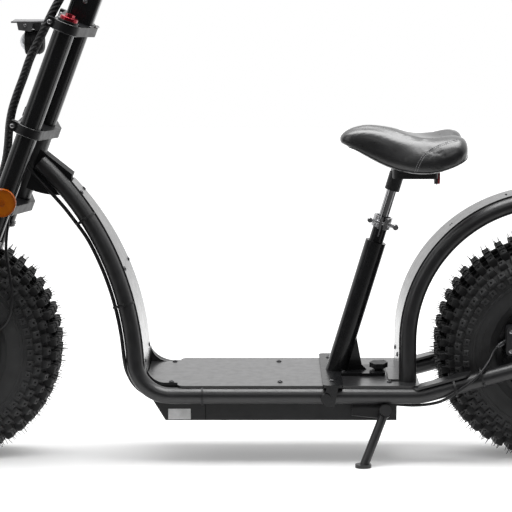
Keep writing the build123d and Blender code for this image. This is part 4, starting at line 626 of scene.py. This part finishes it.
def disc_open(ring, step):
    """Whether one cell of the disc is cut out: six windows, and two rows of short slots."""
    if ring in WINDOW_RINGS:
        return step % 24 > 5 + (ring == WINDOW_RINGS[0])
    if ring == INNER_SLOT_RING:
        return step % 6 in (0, 1)
    return ring == OUTER_SLOT_RING and step % 6 in (3, 4)


def rotor_shape(axle):
    """A brake disc: the cells that stay, and a wall wherever one meets an opening."""
    shape = Shape()

    def corner(ring, step, y):
        turn = 2 * pi * step / DISC_STEPS
        r = DISC_RADII[ring]
        return Vector((axle.x + r * sin(turn), y, axle.z + r * cos(turn)))

    def wall(corners):
        start = len(shape.verts)
        shape.verts += corners
        shape.faces.append(tuple(start + n for n in range(4)))

    front = DISC_IN_Y - DISC_T
    back = DISC_IN_Y
    last = len(DISC_RADII) - 2
    for ring in range(last + 1):
        for step in range(DISC_STEPS):
            if disc_open(ring, step):
                continue
            a, b = (ring, step), (ring, step + 1)
            c, d = (ring + 1, step + 1), (ring + 1, step)
            wall([corner(*p, front) for p in (a, b, c, d)])
            wall([corner(*p, back) for p in (d, c, b, a)])
            neighbours = (
                ((ring - 1, step), (b, a)), ((ring + 1, step), (d, c)),
                ((ring, step - 1), (a, d)), ((ring, step + 1), (c, b)),
            )
            for near, (p, q) in neighbours:
                if not 0 <= near[0] <= last or disc_open(near[0], near[1] % DISC_STEPS):
                    wall([corner(*p, front), corner(*q, front), corner(*q, back), corner(*p, back)])
    return shape


# What the wheels and calipers carry: bolts of disc, motor and caliper, and the valve
DISC_BOLT_R = 22
DISC_BOLT_START = 0.13
HUB_BOLT_R = 70
VALVE_Y = 68.0
VALVE_DROP = 91.0
CALIPER_BOLTS = ((12, 21), (12, -21), (-6, 24))

for end, axle in AXLES.items():
    disc = piece(
        f"{end}_disc_detail", rotor_shape(axle), disc_steel, f"{end}_wheel", [f"{end}_disc"]
    )
    weld = disc.modifiers.new("weld", "WELD")
    weld.merge_threshold = 0.00001

    wheel_bolts = Shape()
    for n in range(6):
        turn = pi * n / 3 + DISC_BOLT_START
        out = Vector((sin(turn), 0, cos(turn)))
        foot = axle + out * DISC_BOLT_R + Vector((0, DISC_IN_Y - DISC_T, 0))
        wheel_bolts.bolt(foot, (0, -1, 0), 3.8, 2.4)
    for n in range(12):
        out = Vector((sin(pi * n / 6), 0, cos(pi * n / 6)))
        for side in (-1, 1):
            foot = axle + out * HUB_BOLT_R + Vector((0, side * HUB_COVER_Y, 0))
            wheel_bolts.bolt(foot, (0, side, 0), 3.4, 2.2)
    piece(f"{end}_wheel_bolts", wheel_bolts, bolt_dark, f"{end}_wheel")

    valve = Shape()
    valve.lathe(
        [(4.2, -2), (4.2, 6), (3.1, 8), (3.1, 18), (4.0, 18.5), (4.0, 27), (3.0, 28)],
        facing(axle + Vector((0, VALVE_Y, -VALVE_DROP)), (0, 0.35, 1)),
        20,
    )
    piece(f"{end}_valve", valve, plastic_black, f"{end}_wheel")

    caliper_bolts = Shape()
    toward = 1 if end == "front" else -1
    caliper = axle + Vector((toward * CALIPER_REACH, -CALIPER_OUT_Y, CALIPER_RISE))
    for across, rise in CALIPER_BOLTS:
        caliper_bolts.bolt(caliper + Vector((toward * across, 0, rise)), (0, -1, 0), 4.2, 3.0)
    caliper_bolts.lathe([(10.5, 0), (10.5, 1.0), (9.5, 1.8), (3.0, 1.8)], facing(caliper, (0, -1, 0)), 36)
    piece(f"{end}_caliper_bolts", caliper_bolts, bolt_silver, AXLE_BODIES[end])

# Saddle: sections of the pressed cover from nose to tail
SADDLE_SECTIONS = [
    # x, half width, low, edge of the side, lobes, middle
    (194.0, 8.0, 684, 687, 691, 694),
    (200.0, 17.0, 681, 687, 699, 703),
    (212.0, 25.0, 676, 687, 706, 711),
    (230.0, 32.0, 667, 684, 711, 718),
    (255.0, 40.0, 653, 675, 713, 721),
    (285.0, 50.0, 638, 662, 708, 716),
    (315.0, 62.0, 628, 652, 701, 707),
    (345.0, 78.0, 624, 648, 695, 697),
    (375.0, 93.0, 625, 648, 692, 689),
    (400.0, 102.0, 630, 652, 697, 686),
    (425.0, 104.0, 639, 660, 702, 686),
    (443.0, 99.0, 647, 666, 702, 687),
    (455.0, 89.0, 654, 672, 698, 684),
    (461.5, 74.0, 663, 677, 688, 680),
]
LOBE_SHARE = 0.6


def saddle_section(x, half_width, low, edge, lobe, middle):
    """Half of one section from the middle of the top to the middle of the underside."""
    points = []
    for t in (0, 0.2, 0.4, 0.6, 0.8, 1):
        share = t * t * (3 - 2 * t)
        points.append((LOBE_SHARE * half_width * t, middle + (lobe - middle) * share))
    for t in (0.3, 0.55, 0.75, 0.9, 1):
        turn = t * pi / 2
        points.append(
            (half_width * (LOBE_SHARE + (1 - LOBE_SHARE) * sin(turn)), edge + (lobe - edge) * cos(turn))
        )
    points.append((half_width * 0.99, edge - (edge - low) * 0.45))
    points.append((half_width * 0.955, edge - (edge - low) * 0.85))
    points.append((half_width * 0.91, low))
    points.append((half_width * 0.45, low - 0.5))
    return [(x, y, z) for y, z in points]


def whole(half):
    """A closed section from its half."""
    return half + [(x, -y, z) for x, y, z in reversed(half[1:])]


saddle_shape = Shape()
saddle_shape.rings([whole(saddle_section(*row)) for row in SADDLE_SECTIONS])
saddle = piece("saddle_cover", saddle_shape, leather, "saddle", ["saddle"])

# How the saddle's filling presses its cover out
PRESS_VOXEL = 0.0045
PRESS_CAP = 0.005
PRESS_FORCE = 3.0
PRESS_FRAMES = 20


def applied(obj):
    """Put an object's modified mesh in place of its mesh."""
    graph = bpy.context.evaluated_depsgraph_get()
    mesh = bpy.data.meshes.new_from_object(obj.evaluated_get(graph))
    obj.modifiers.clear()
    obj.data = mesh
    return mesh


def press_out(obj):
    """Swell a cushion as its filling does, with no point moved by more than the cap."""
    smooth = obj.modifiers.new("smooth", "SUBSURF")
    smooth.levels = 2
    grid = obj.modifiers.new("grid", "REMESH")
    grid.mode = "VOXEL"
    grid.voxel_size = PRESS_VOXEL
    mesh = applied(obj)
    still = [v.co.copy() for v in mesh.vertices]
    held = obj.vertex_groups.new(name="held")
    under = (UPRIGHT.to_3x3() @ Vector((0, 0, -1))).normalized()
    for v in mesh.vertices:
        if v.normal.dot(under) > 0.6:
            held.add([v.index], 1.0, "REPLACE")
    cloth = obj.modifiers.new("fill", "CLOTH")
    cloth.settings.use_pressure = True
    cloth.settings.uniform_pressure_force = PRESS_FORCE
    cloth.settings.effector_weights.gravity = 0.0
    cloth.settings.vertex_group_mass = "held"
    cloth.point_cache.frame_start = 1
    cloth.point_cache.frame_end = PRESS_FRAMES
    for number in range(1, PRESS_FRAMES + 1):
        bpy.context.scene.frame_set(number)
    mesh = applied(obj)
    bpy.context.scene.frame_set(1)
    for v, old in zip(mesh.vertices, still):
        move = v.co - old
        if move.length > PRESS_CAP:
            v.co = old + move.normalized() * PRESS_CAP
    obj.vertex_groups.clear()
    fine = obj.modifiers.new("fine", "SUBSURF")
    fine.levels = 1
    fine.render_levels = 1
    mesh = applied(obj)
    mesh.materials.clear()
    mesh.materials.append(leather)
    mesh.shade_smooth()


press_out(saddle)

# Seams of the saddle: found on the cover along the photograph's lines of sight, the same on both sides
saddle_tree = surface(saddle)
SEAM_Y = 80.0
SEAM_POINTS = [
    (350.5, 631.5), (353, 640), (357, 649), (363, 660), (371, 670), (383, 678.5), (396, 685.5),
    (413, 692), (430, 696.5), (441, 699), (452, 701),
]
STITCH_STEP = 4.2
STITCH_SHIFT = 2.4


def even(points, step):
    """Points spaced evenly along a line of points."""
    out = [points[0]]
    left = step
    for start, end in zip(points, points[1:]):
        run = (end - start).length
        while left <= run:
            out.append(start + (end - start) * (left / run))
            left += step
        left -= run
    return out


seam = Shape()
welt = Shape()
for side in (-1, 1):
    eye = (CAMERA_PLACE.x, CAMERA_PLACE.y * -side, CAMERA_PLACE.z)
    found = [seen_place(saddle_tree, eye, x, SEAM_Y * side, z) for x, z in SEAM_POINTS]
    found = [hit for hit in found if hit]
    line = [hit[0] for hit in found]
    ups = [hit[1] for hit in found]
    for place in even(line, STITCH_STEP)[:-1]:
        near = min(range(len(line)), key=lambda n: (line[n] - place).length)
        ahead = (line[min(near + 1, len(line) - 1)] - line[max(near - 1, 0)]).normalized()
        up = ups[near]
        across = ahead.cross(up).normalized()
        for shift in (-STITCH_SHIFT, STITCH_SHIFT):
            centre = place + across * shift + up * 0.35
            seam.tube([centre - ahead * 1.5, centre + up * 0.25, centre + ahead * 1.5], 0.5, 6)
    welt.tube([place - up * 0.4 for place, up in zip(line, ups)], 0.7, 8)
piece("saddle_stitches", seam, thread_grey, "saddle")
piece("saddle_seam", welt, leather, "saddle")

# Piping round the cover's lower edge
SADDLE_MIDDLE_X = 350
PIPING_STEPS = 90


def edge_height(x):
    """Height of the cover's lower edge at one place along the saddle."""
    rows = [(row[0], row[2] + (row[3] - row[2]) * 0.25) for row in SADDLE_SECTIONS]
    for (x0, z0), (x1, z1) in zip(rows, rows[1:]):
        if x <= x1:
            return z0 + (z1 - z0) * max(x - x0, 0.0) / (x1 - x0)
    return rows[-1][1]


def edge_place(angle):
    """Where the cover's lower edge lies in one direction from the middle of the saddle."""
    way = Vector((cos(angle), sin(angle), 0))
    spot = Vector((SADDLE_MIDDLE_X, 0, 0)) + way * 100
    for _ in range(4):
        outside = Vector((SADDLE_MIDDLE_X, 0, edge_height(spot.x))) + way * 250
        hit = saddle_tree.ray_cast(UPRIGHT @ outside, -(UPRIGHT.to_3x3() @ way).normalized())[0]
        spot = FROM_STORED @ hit
    return spot


edge_line = [edge_place(2 * pi * n / PIPING_STEPS) for n in range(PIPING_STEPS)]
piping = Shape()
piping.tube([*edge_line, *edge_line[:2]], 1.4, 8)
piece("saddle_piping", piping, plastic_black, "saddle")

# Bolts of the deck, the cover, the mudguard and the saddle's base
DECK_BOLT_XS = (-163.0, 68.0, 301.0)
DECK_BOLT_Y = 86.0
COVER_BOLTS = ((2.9, 70), (21.0, 52), (37.5, 26))
GUARD_BOLT_PLACE = (321.6, 32, 227)
BASE_SIDE_BOLT = (178.5, 100)
BASE_REAR_BOLT = (206.0, 24.0)


def on_cover(angle, y):
    """A place on the curved cover and the direction out of it."""
    turn = radians(angle)
    up = NECK_CENTRE[1] + COVER_OUT_R * sin(turn)
    place = Vector((NECK_CENTRE[0] + COVER_OUT_R * cos(turn), y, RAIL_Z + up * cos(NECK_LEAN)))
    return place, Vector((cos(turn), 0, sin(turn)))


frame_bolts = Shape()
for x in DECK_BOLT_XS:
    for side in (-1, 1):
        frame_bolts.bolt((x, side * DECK_BOLT_Y, DECK_TOP_Z), (0, 0, 1), 5.2, 3.0)
for angle, half in COVER_BOLTS:
    for side in (-1, 1):
        place, out = on_cover(angle, side * half)
        frame_bolts.bolt(place, out, 4.6, 2.6)
for side in (-1, 1):
    x, y, z = GUARD_BOLT_PLACE
    frame_bolts.bolt((x, side * y, z), (-1, 0, 0), 4.6, 2.6)
    x, y = BASE_SIDE_BOLT
    frame_bolts.bolt((x, side * y, BASE_TOP_Z), (0, 0, 1), 5.2, 3.2)
for side in (-1, 1):
    x, y = BASE_REAR_BOLT
    frame_bolts.bolt((x, side * y, BASE_TOP_Z), (0, 0, 1), 5.2, 3.2)
piece("frame_bolts", frame_bolts, bolt_dark, "frame")

# Slots pressed into the mudguard, drawn as thin flat marks whose near-black colour is painted shade in place
# of their recesses, found where the photograph shows them
GUARD_SLOTS = [
    # x and z in the scooter's middle plane, length, width, gap between two of them
    (434.6, 506.0, 9.0, 2.6, 5.0),
    (550.7, 570.4, 15.0, 4.0, 0.0),
]
guard_tree = surface(NODES["mudguard"])
guard_slots = Shape()
for x, z, long, wide, gap in GUARD_SLOTS:
    place, normal = seen_place(guard_tree, CAMERA_PLACE, x, 0, z)
    along = Vector((0, 1, 0)).cross(normal).normalized()
    for shift in ((-gap / 2, gap / 2) if gap else (0.0,)):
        slot_pose = facing(place + along * shift + normal * 0.05, normal, (0, 1, 0))
        guard_slots.block((wide, long, 0.5), slot_pose, 0.2)
piece("mudguard_slots", guard_slots, slot_shade_and_seam_dark, "frame")

# Seat collar: its screw, a barrel nut at each end and two washers
COLLAR_SCREW = (25.5, 0, 339.5)
collar_bits = Shape()
screw_place = MAST @ Vector(COLLAR_SCREW)
screw_way = MAST.to_3x3() @ Vector((0, 1, 0))
collar_bits.tube([screw_place - screw_way * 27, screw_place + screw_way * 26], 2.9, 12)
for reach, radius in ((-29.0, 5.4), (28.0, 6.2)):
    barrel = [
        (radius * 0.5, 5), (radius * 0.86, 5), (radius, 4.2), (radius, -4.2), (radius * 0.86, -5),
        (radius * 0.5, -5), (radius * 0.5, 3.2),
    ]
    collar_bits.lathe(barrel, facing(screw_place + screw_way * reach, (0, -1, 0), screw_way), 28)
for reach in (-13.0, 12.0):
    washer = [(3.0, -1.2), (6.4, -1.0), (6.8, 0), (6.4, 1.0), (3.0, 1.2)]
    collar_bits.lathe(washer, facing(screw_place + screw_way * reach, screw_way), 24)
piece("collar_fittings", collar_bits, bolt_silver, "frame")

# Bolts of the fork's clamps, of the stem's foot and of the stem
STEM_FOOT_BOLT = (33, 14, CLAMP_UPS[2] + 10)
STEM_BACK_BOLT_UPS = (735.0, 752.0)
STEM_SIDE_BOLT_UPS = (800.0, 840.0)
fork_bolts = Shape()
fork_way = FORK.to_3x3()
for up in CLAMP_UPS:
    for side in (-1, 1):
        lug = FORK @ Vector((-LEG_OFFSET - LUG_R + 6, side * LEG_Y, up))
        fork_bolts.bolt(lug + Vector((0, -11, 0)), (0, -1, 0), 5.0, 4.6)
        fork_bolts.bolt(lug + Vector((0, 11, 0)), (0, 1, 0), 4.4, 3.6, socket=False)
for side in (-1, 1):
    x, y, up = STEM_FOOT_BOLT
    fork_bolts.bolt(FORK @ Vector((x, side * y, up)), fork_way @ Vector((0, 0, 1)), 4.6, 3.4)
    for up in STEM_BACK_BOLT_UPS:
        back = FORK @ Vector((22, side * 27.6, up))
        fork_bolts.bolt(back, fork_way @ Vector((0.62, side * 0.78, 0)), 3.6, 3.0)
    for up in STEM_SIDE_BOLT_UPS:
        fork_bolts.bolt(FORK @ Vector((-6, side * 28, up)), (0, side, 0), 4.4, 3.0)
piece("fork_bolts", fork_bolts, bolt_silver, "steering")

# Rings at the wiper seals, round the leg tops and on both faces of each clamp
SEAL_UPS = (268.0, 272.5)
LEG_TOP_UP = 757.2
leg_rings = Shape()
for side in (-1, 1):
    leg = FORK @ Matrix.Translation((-LEG_OFFSET, side * LEG_Y, 0))
    for up in SEAL_UPS:
        seal = [(25.1, 0), (25.7, 0.8), (25.7, 2.0), (25.1, 2.8)]
        leg_rings.lathe(seal, leg @ Matrix.Translation((0, 0, up)), 48)
    top_ring = [(19.3, 0), (22.4, 0), (22.8, 1.0), (22.2, 2.2), (19.3, 2.4)]
    leg_rings.lathe(top_ring, leg @ Matrix.Translation((0, 0, LEG_TOP_UP)), 48)
for up in CLAMP_UPS:
    for side in (-1, 1):
        lobe = FORK @ Matrix.Translation((-LEG_OFFSET, side * LEG_Y, up))
        for end in (-1, 1):
            edge = [(22.2, 8.6), (28.2, 8.6), (28.9, 9.2), (28.9, 9.7), (27.9, 10.5), (22.2, 10.5)]
            leg_rings.lathe([(r, h * end) for r, h in edge[::end]], lobe, 56)
piece("leg_rings", leg_rings, fork_black, "steering")

# Headlamp: domed lens over its reflector, bezel with cooling ribs behind it, and its bolts
LAMP_FRONT = (-478.3, 0, 895.3)
LAMP_RIBS = 5
LAMP_RIB_START = -22
LAMP_RIB_STEP = 4.4
HINGE_BOLT = (-439.0, 10.2, 912.0)
EAR_BOLT = (-463.0, 34.2, 932.0)
BRACKET_BOLT = (-396.0, 9.5, 940.4)
lamp_pose = facing(LAMP_FRONT, (-1, 0, 0))
lens = Shape()
lens.lathe(
    [(20.4, -14.2), (20.2, -12), (18.6, -8.6), (15, -5.0), (10, -1.9), (5, -0.2), (0.4, 0.5)], lamp_pose, 48
)
piece("lamp_lens", lens, lens_clear, "steering")
bezel = Shape()
bezel.lathe(
    [(20.2, -15.5), (25.9, -15.5), (26.4, -14.5), (26.2, -12.2), (24.0, -11.0), (21.2, -11.6), (20.4, -13)],
    lamp_pose,
    56,
)
for n in range(LAMP_RIBS):
    rib_pose = lamp_pose @ Matrix.Translation((0, 0, LAMP_RIB_START - LAMP_RIB_STEP * n))
    bezel.lathe([(24.9, -0.8), (26.2, -0.6), (26.2, 0.6), (24.9, 0.8)], rib_pose, 48)
piece("lamp_bezel", bezel, plastic_black, "steering")
lamp_bolts = Shape()
for side in (-1, 1):
    for (x, y, z), way, radius, height in (
        (HINGE_BOLT, (0, side, 0), 4.4, 3.4),
        (EAR_BOLT, (0, side, 0), 3.4, 2.4),
        (BRACKET_BOLT, (0, 0, 1), 4.0, 2.6),
    ):
        lamp_bolts.bolt((x, side * y, z), way, radius, height)
piece("lamp_bolts", lamp_bolts, bolt_silver, "steering")

# Reflector rims
REFLECTOR_UP = 362.4
TAIL_PLACE = (402, 0, 607)
rims = Shape()
for side in (-1, 1):
    ring = facing(FORK @ Vector((-LEG_OFFSET, side * (LEG_Y + 28.6), REFLECTOR_UP)), (0, side, 0))
    rims.lathe([(27.9, 0), (29.4, 0), (29.4, 8.6), (28.6, 9.9), (26.0, 9.9), (26.0, 8.9)], ring, 56)
    rims.lathe([(7.5, 8.9), (7.5, 9.6), (6.4, 10.0), (2.0, 10.0)], ring, 32)
piece("reflector_rims", rims, amber_rim, "steering")
tail_ring = Shape()
tail_ring.lathe(
    [(9.0, -0.6), (15.2, -0.6), (15.2, 0.8), (14.2, 1.4), (9.0, 1.4)], facing(TAIL_PLACE, (1, 0, 0)), 40
)
piece("tail_rim", tail_ring, plastic_black, "saddle")

# Cable ties round the left side tube and the cable beside it
TIE_R = 19.0
TIE_STEPS = 40
NECK_TIES = (33.0, 14.6)
LEVEL_TIE_X = -97
RISE_TIES = [
    # x, direction of the hose from the tube, reach round it
    (437.0, (0, -1, -0.15), 28.5),
    (495.0, (0, -0.6, 1), 27.0),
]


def tie(shape, centre, along, toward, reach):
    """A thin band round the tube, wider on the side where the cable lies, with its lock."""
    along = Vector(along).normalized()
    toward = Vector(toward)
    toward = (toward - along * toward.dot(along)).normalized()
    side = along.cross(toward)
    half = (reach + TIE_R) / 2
    middle = Vector(centre) + toward * (reach - TIE_R) / 2
    rings = []
    for j in range(TIE_STEPS):
        turn = 2 * pi * j / TIE_STEPS
        place = middle + (toward * cos(turn) * half + side * sin(turn) * TIE_R)
        away = (toward * cos(turn) / half + side * sin(turn) / TIE_R).normalized()
        corners = ((-0.3, -2.1), (-0.3, 2.1), (0.9, 2.1), (0.9, -2.1))
        rings.append([place + away * a + along * b for a, b in corners])
    shape.rings(rings, loop=True)
    lock = middle + side * TIE_R
    shape.block((5.4, 6.4, 4.2), facing(lock + side * 1.6, side, along), 0.5)
    shape.block((3.4, 1.2, 5.0), facing(lock + side * 5.6 + toward * 1.0, side, along), 0.3)


def on_neck(angle):
    """Centre, direction and inward direction of the left side tube at one angle of its neck."""
    turn = radians(angle)
    up = NECK_CENTRE[1] + NECK_R * sin(turn)
    x = NECK_CENTRE[0] + NECK_R * cos(turn)
    place = Vector((x, -RAIL_Y + up * sin(NECK_LEAN), RAIL_Z + up * cos(NECK_LEAN)))
    along = Vector((-sin(turn), cos(turn) * sin(NECK_LEAN), cos(turn) * cos(NECK_LEAN)))
    inward = Vector((-cos(turn), -sin(turn) * sin(NECK_LEAN), -sin(turn) * cos(NECK_LEAN)))
    return place, along, inward


ties = Shape()
for angle in NECK_TIES:
    place, along, inward = on_neck(angle)
    tie(ties, place, along, inward, 27.2)
tie(ties, (LEVEL_TIE_X, -RAIL_Y, RAIL_Z), (1, 0, 0), (0, 0, -1), 19.2)
rise_way = (cos(RAIL_RISE), 0, sin(RAIL_RISE))
for x, toward, reach in RISE_TIES:
    tie(ties, (x, -RAIL_Y, RAIL_Z + (x - RAIL_KINK_X) * tan(RAIL_RISE)), rise_way, toward, reach)
piece("cable_ties", ties, plastic_black, "frame")

# Hose fittings at the calipers
FITTING_Y = -85
FITTING_REACH = CALIPER_REACH + CALIPER_DEPTH / 3
FITTINGS = [
    # end, direction along the scooter, rise in degrees, look
    ("front", 1, 41.0, brass),
    ("rear", -1, -35.0, bolt_dark),
]
for end, reach, rise, look in FITTINGS:
    axle = AXLES[end]
    way = (reach * cos(radians(rise)), 0, sin(radians(rise)))
    root = Vector((axle.x + reach * FITTING_REACH, FITTING_Y, axle.z + CALIPER_RISE))
    fitting = Shape()
    fitting.lathe(
        [(5.9, 14), (6.6, 14), (6.6, 20), (5.9, 20.5), (5.9, 24), (5.0, 25.2), (4.3, 31), (3.4, 32)],
        facing(root, way),
        24,
    )
    piece(f"{end}_hose_fitting", fitting, look, AXLE_BODIES[end])

# The blank rating plate on the battery box, and the short seam beside it
PLATE_SIZE = (48.0, 23.5, 0.7)
PLATE_PLACE = (-146.5, -BOX_SIDE_Y - 0.2, 111.3)
SEAM_SIZE = (43.0, 1.3, 0.5)
SEAM_PLACE = (-91.0, -BOX_SIDE_Y - 0.1, 118.6)
plate = Shape()
plate.block(PLATE_SIZE, facing(PLATE_PLACE, (0, -1, 0), (0, 0, 1)), 0.3)
piece("rating_plate", plate, plate_white, "frame")
box_seam = Shape()
box_seam.block(SEAM_SIZE, facing(SEAM_PLACE, (0, -1, 0), (1, 0, 0)), 0.2)
piece("box_seam", box_seam, slot_shade_and_seam_dark, "frame")

# The white floor keeps the shadow near the scooter and glows white further off. For all rays but the
# camera's it grows dim towards the viewer, so the black parts keep their depth
FLOOR_HALF = 30
FLOOR_TONE = 0.86
floor_mesh = bpy.data.meshes.new("floor")
floor_corners = [
    (-FLOOR_HALF, -FLOOR_HALF, 0), (FLOOR_HALF, -FLOOR_HALF, 0),
    (FLOOR_HALF, FLOOR_HALF, 0), (-FLOOR_HALF, FLOOR_HALF, 0),
]
floor_mesh.from_pydata(floor_corners, [], [(0, 1, 2, 3)])
floor = bpy.data.objects.new("floor", floor_mesh)
bpy.context.scene.collection.objects.link(floor)

floor_white = bpy.data.materials.new("floor_white")
tree = Tree(floor_white)
diffuse = tree.nodes["Principled BSDF"]
diffuse.inputs["Roughness"].default_value = 0.9
diffuse.inputs["Specular IOR Level"].default_value = 0.0
rays = tree.nodes.new("ShaderNodeLightPath").outputs
position = tree.nodes.new("ShaderNodeNewGeometry").outputs["Position"]
parts = tree.nodes.new("ShaderNodeSeparateXYZ")
tree.link(position, parts.inputs[0])
depth_level = tree.ranged(parts.outputs["Y"], -1.0, 0.25, 0.06, 1.0, smooth=True)
level = tree.math("MAXIMUM", rays["Is Camera Ray"], depth_level)
tree.link(tree.math("MULTIPLY", level, FLOOR_TONE), diffuse.inputs["Base Color"])
distance = tree.math("LENGTH", position, kind="ShaderNodeVectorMath")
glow_share = tree.ranged(distance, 0.9, 3.0, 0.18, 0.6, smooth=True)
glow_rays = tree.math("MAXIMUM", rays["Is Camera Ray"], rays["Is Glossy Ray"])
glow = tree.nodes.new("ShaderNodeEmission")
tree.link(tree.math("MULTIPLY", tree.math("MULTIPLY", glow_share, glow_rays), level), glow.inputs["Strength"])
summed = tree.nodes.new("ShaderNodeAddShader")
tree.link(diffuse.outputs["BSDF"], summed.inputs[0])
tree.link(glow.outputs["Emission"], summed.inputs[1])
tree.link(summed.outputs["Shader"], tree.nodes["Material Output"].inputs["Surface"])
floor_mesh.materials.append(floor_white)

# Behind and above the scooter the room is white. Towards the viewer it grows dim, but never as the
# camera sees it, straight or through glass
ROOM_WAY = (0.0, 0.78, 0.62)
world = bpy.data.worlds.new("studio")
bpy.context.scene.world = world
tree = Tree(world)
backdrop = tree.nodes["Background"]
backdrop.inputs["Color"].default_value = (1.0, 1.0, 1.0, 1.0)
rays = tree.nodes.new("ShaderNodeLightPath").outputs
white_rays = tree.math("MAXIMUM", rays["Is Camera Ray"], rays["Is Transmission Ray"])
direction = tree.nodes.new("ShaderNodeTexCoord").outputs["Generated"]
along_room = tree.math("DOT_PRODUCT", direction, ROOM_WAY, kind="ShaderNodeVectorMath")
room_level = tree.ranged(along_room, -0.35, 0.55, 0.04, 1.0, smooth=True)
tree.link(tree.math("MAXIMUM", white_rays, room_level), backdrop.inputs["Strength"])

LIGHTS = [
    # name, place, target, width and height in metres, power in watts
    ("key_over", (0.0, 0.0, 3.3), (0, 0.1, 0.3), (3.2, 2.4), 130.0),
    ("fill_left", (-3.0, -1.8, 1.8), (0, 0.1, 0.5), (1.2, 2.2), 10.0),
    ("fill_front", (0.4, -3.4, 2.6), (0, 0.1, 0.4), (2.6, 0.8), 9.0),
]
for name, place, target, size, power in LIGHTS:
    light = bpy.data.lights.new(name, "AREA")
    light.shape = "RECTANGLE"
    light.size, light.size_y = size
    light.energy = power
    lamp = bpy.data.objects.new(name, light)
    bpy.context.scene.collection.objects.link(lamp)
    lamp.location = place
    lamp.rotation_euler = (Vector(target) - Vector(place)).to_track_quat("-Z", "Y").to_euler()

# The camera leans as the scooter does, so the scooter stands upright in the picture
SENSOR_WIDTH = 36.0
camera_data = bpy.data.cameras.new("camera")
camera_data.sensor_width = SENSOR_WIDTH
camera_data.lens = FOCAL_PIXELS / PHOTO_PIXELS * SENSOR_WIDTH
camera_data.clip_start = 0.1
camera_data.clip_end = 100.0
camera = bpy.data.objects.new("camera", camera_data)
bpy.context.scene.collection.objects.link(camera)
camera.matrix_world = (
    Matrix.Translation(UPRIGHT @ CAMERA_PLACE)
    @ Matrix.Rotation(LEAN, 4, "X")
    @ Matrix.Rotation(pi / 2 - CAMERA_PITCH, 4, "X")
)
bpy.context.scene.camera = camera
bpy.context.scene.view_settings.view_transform = "Standard"
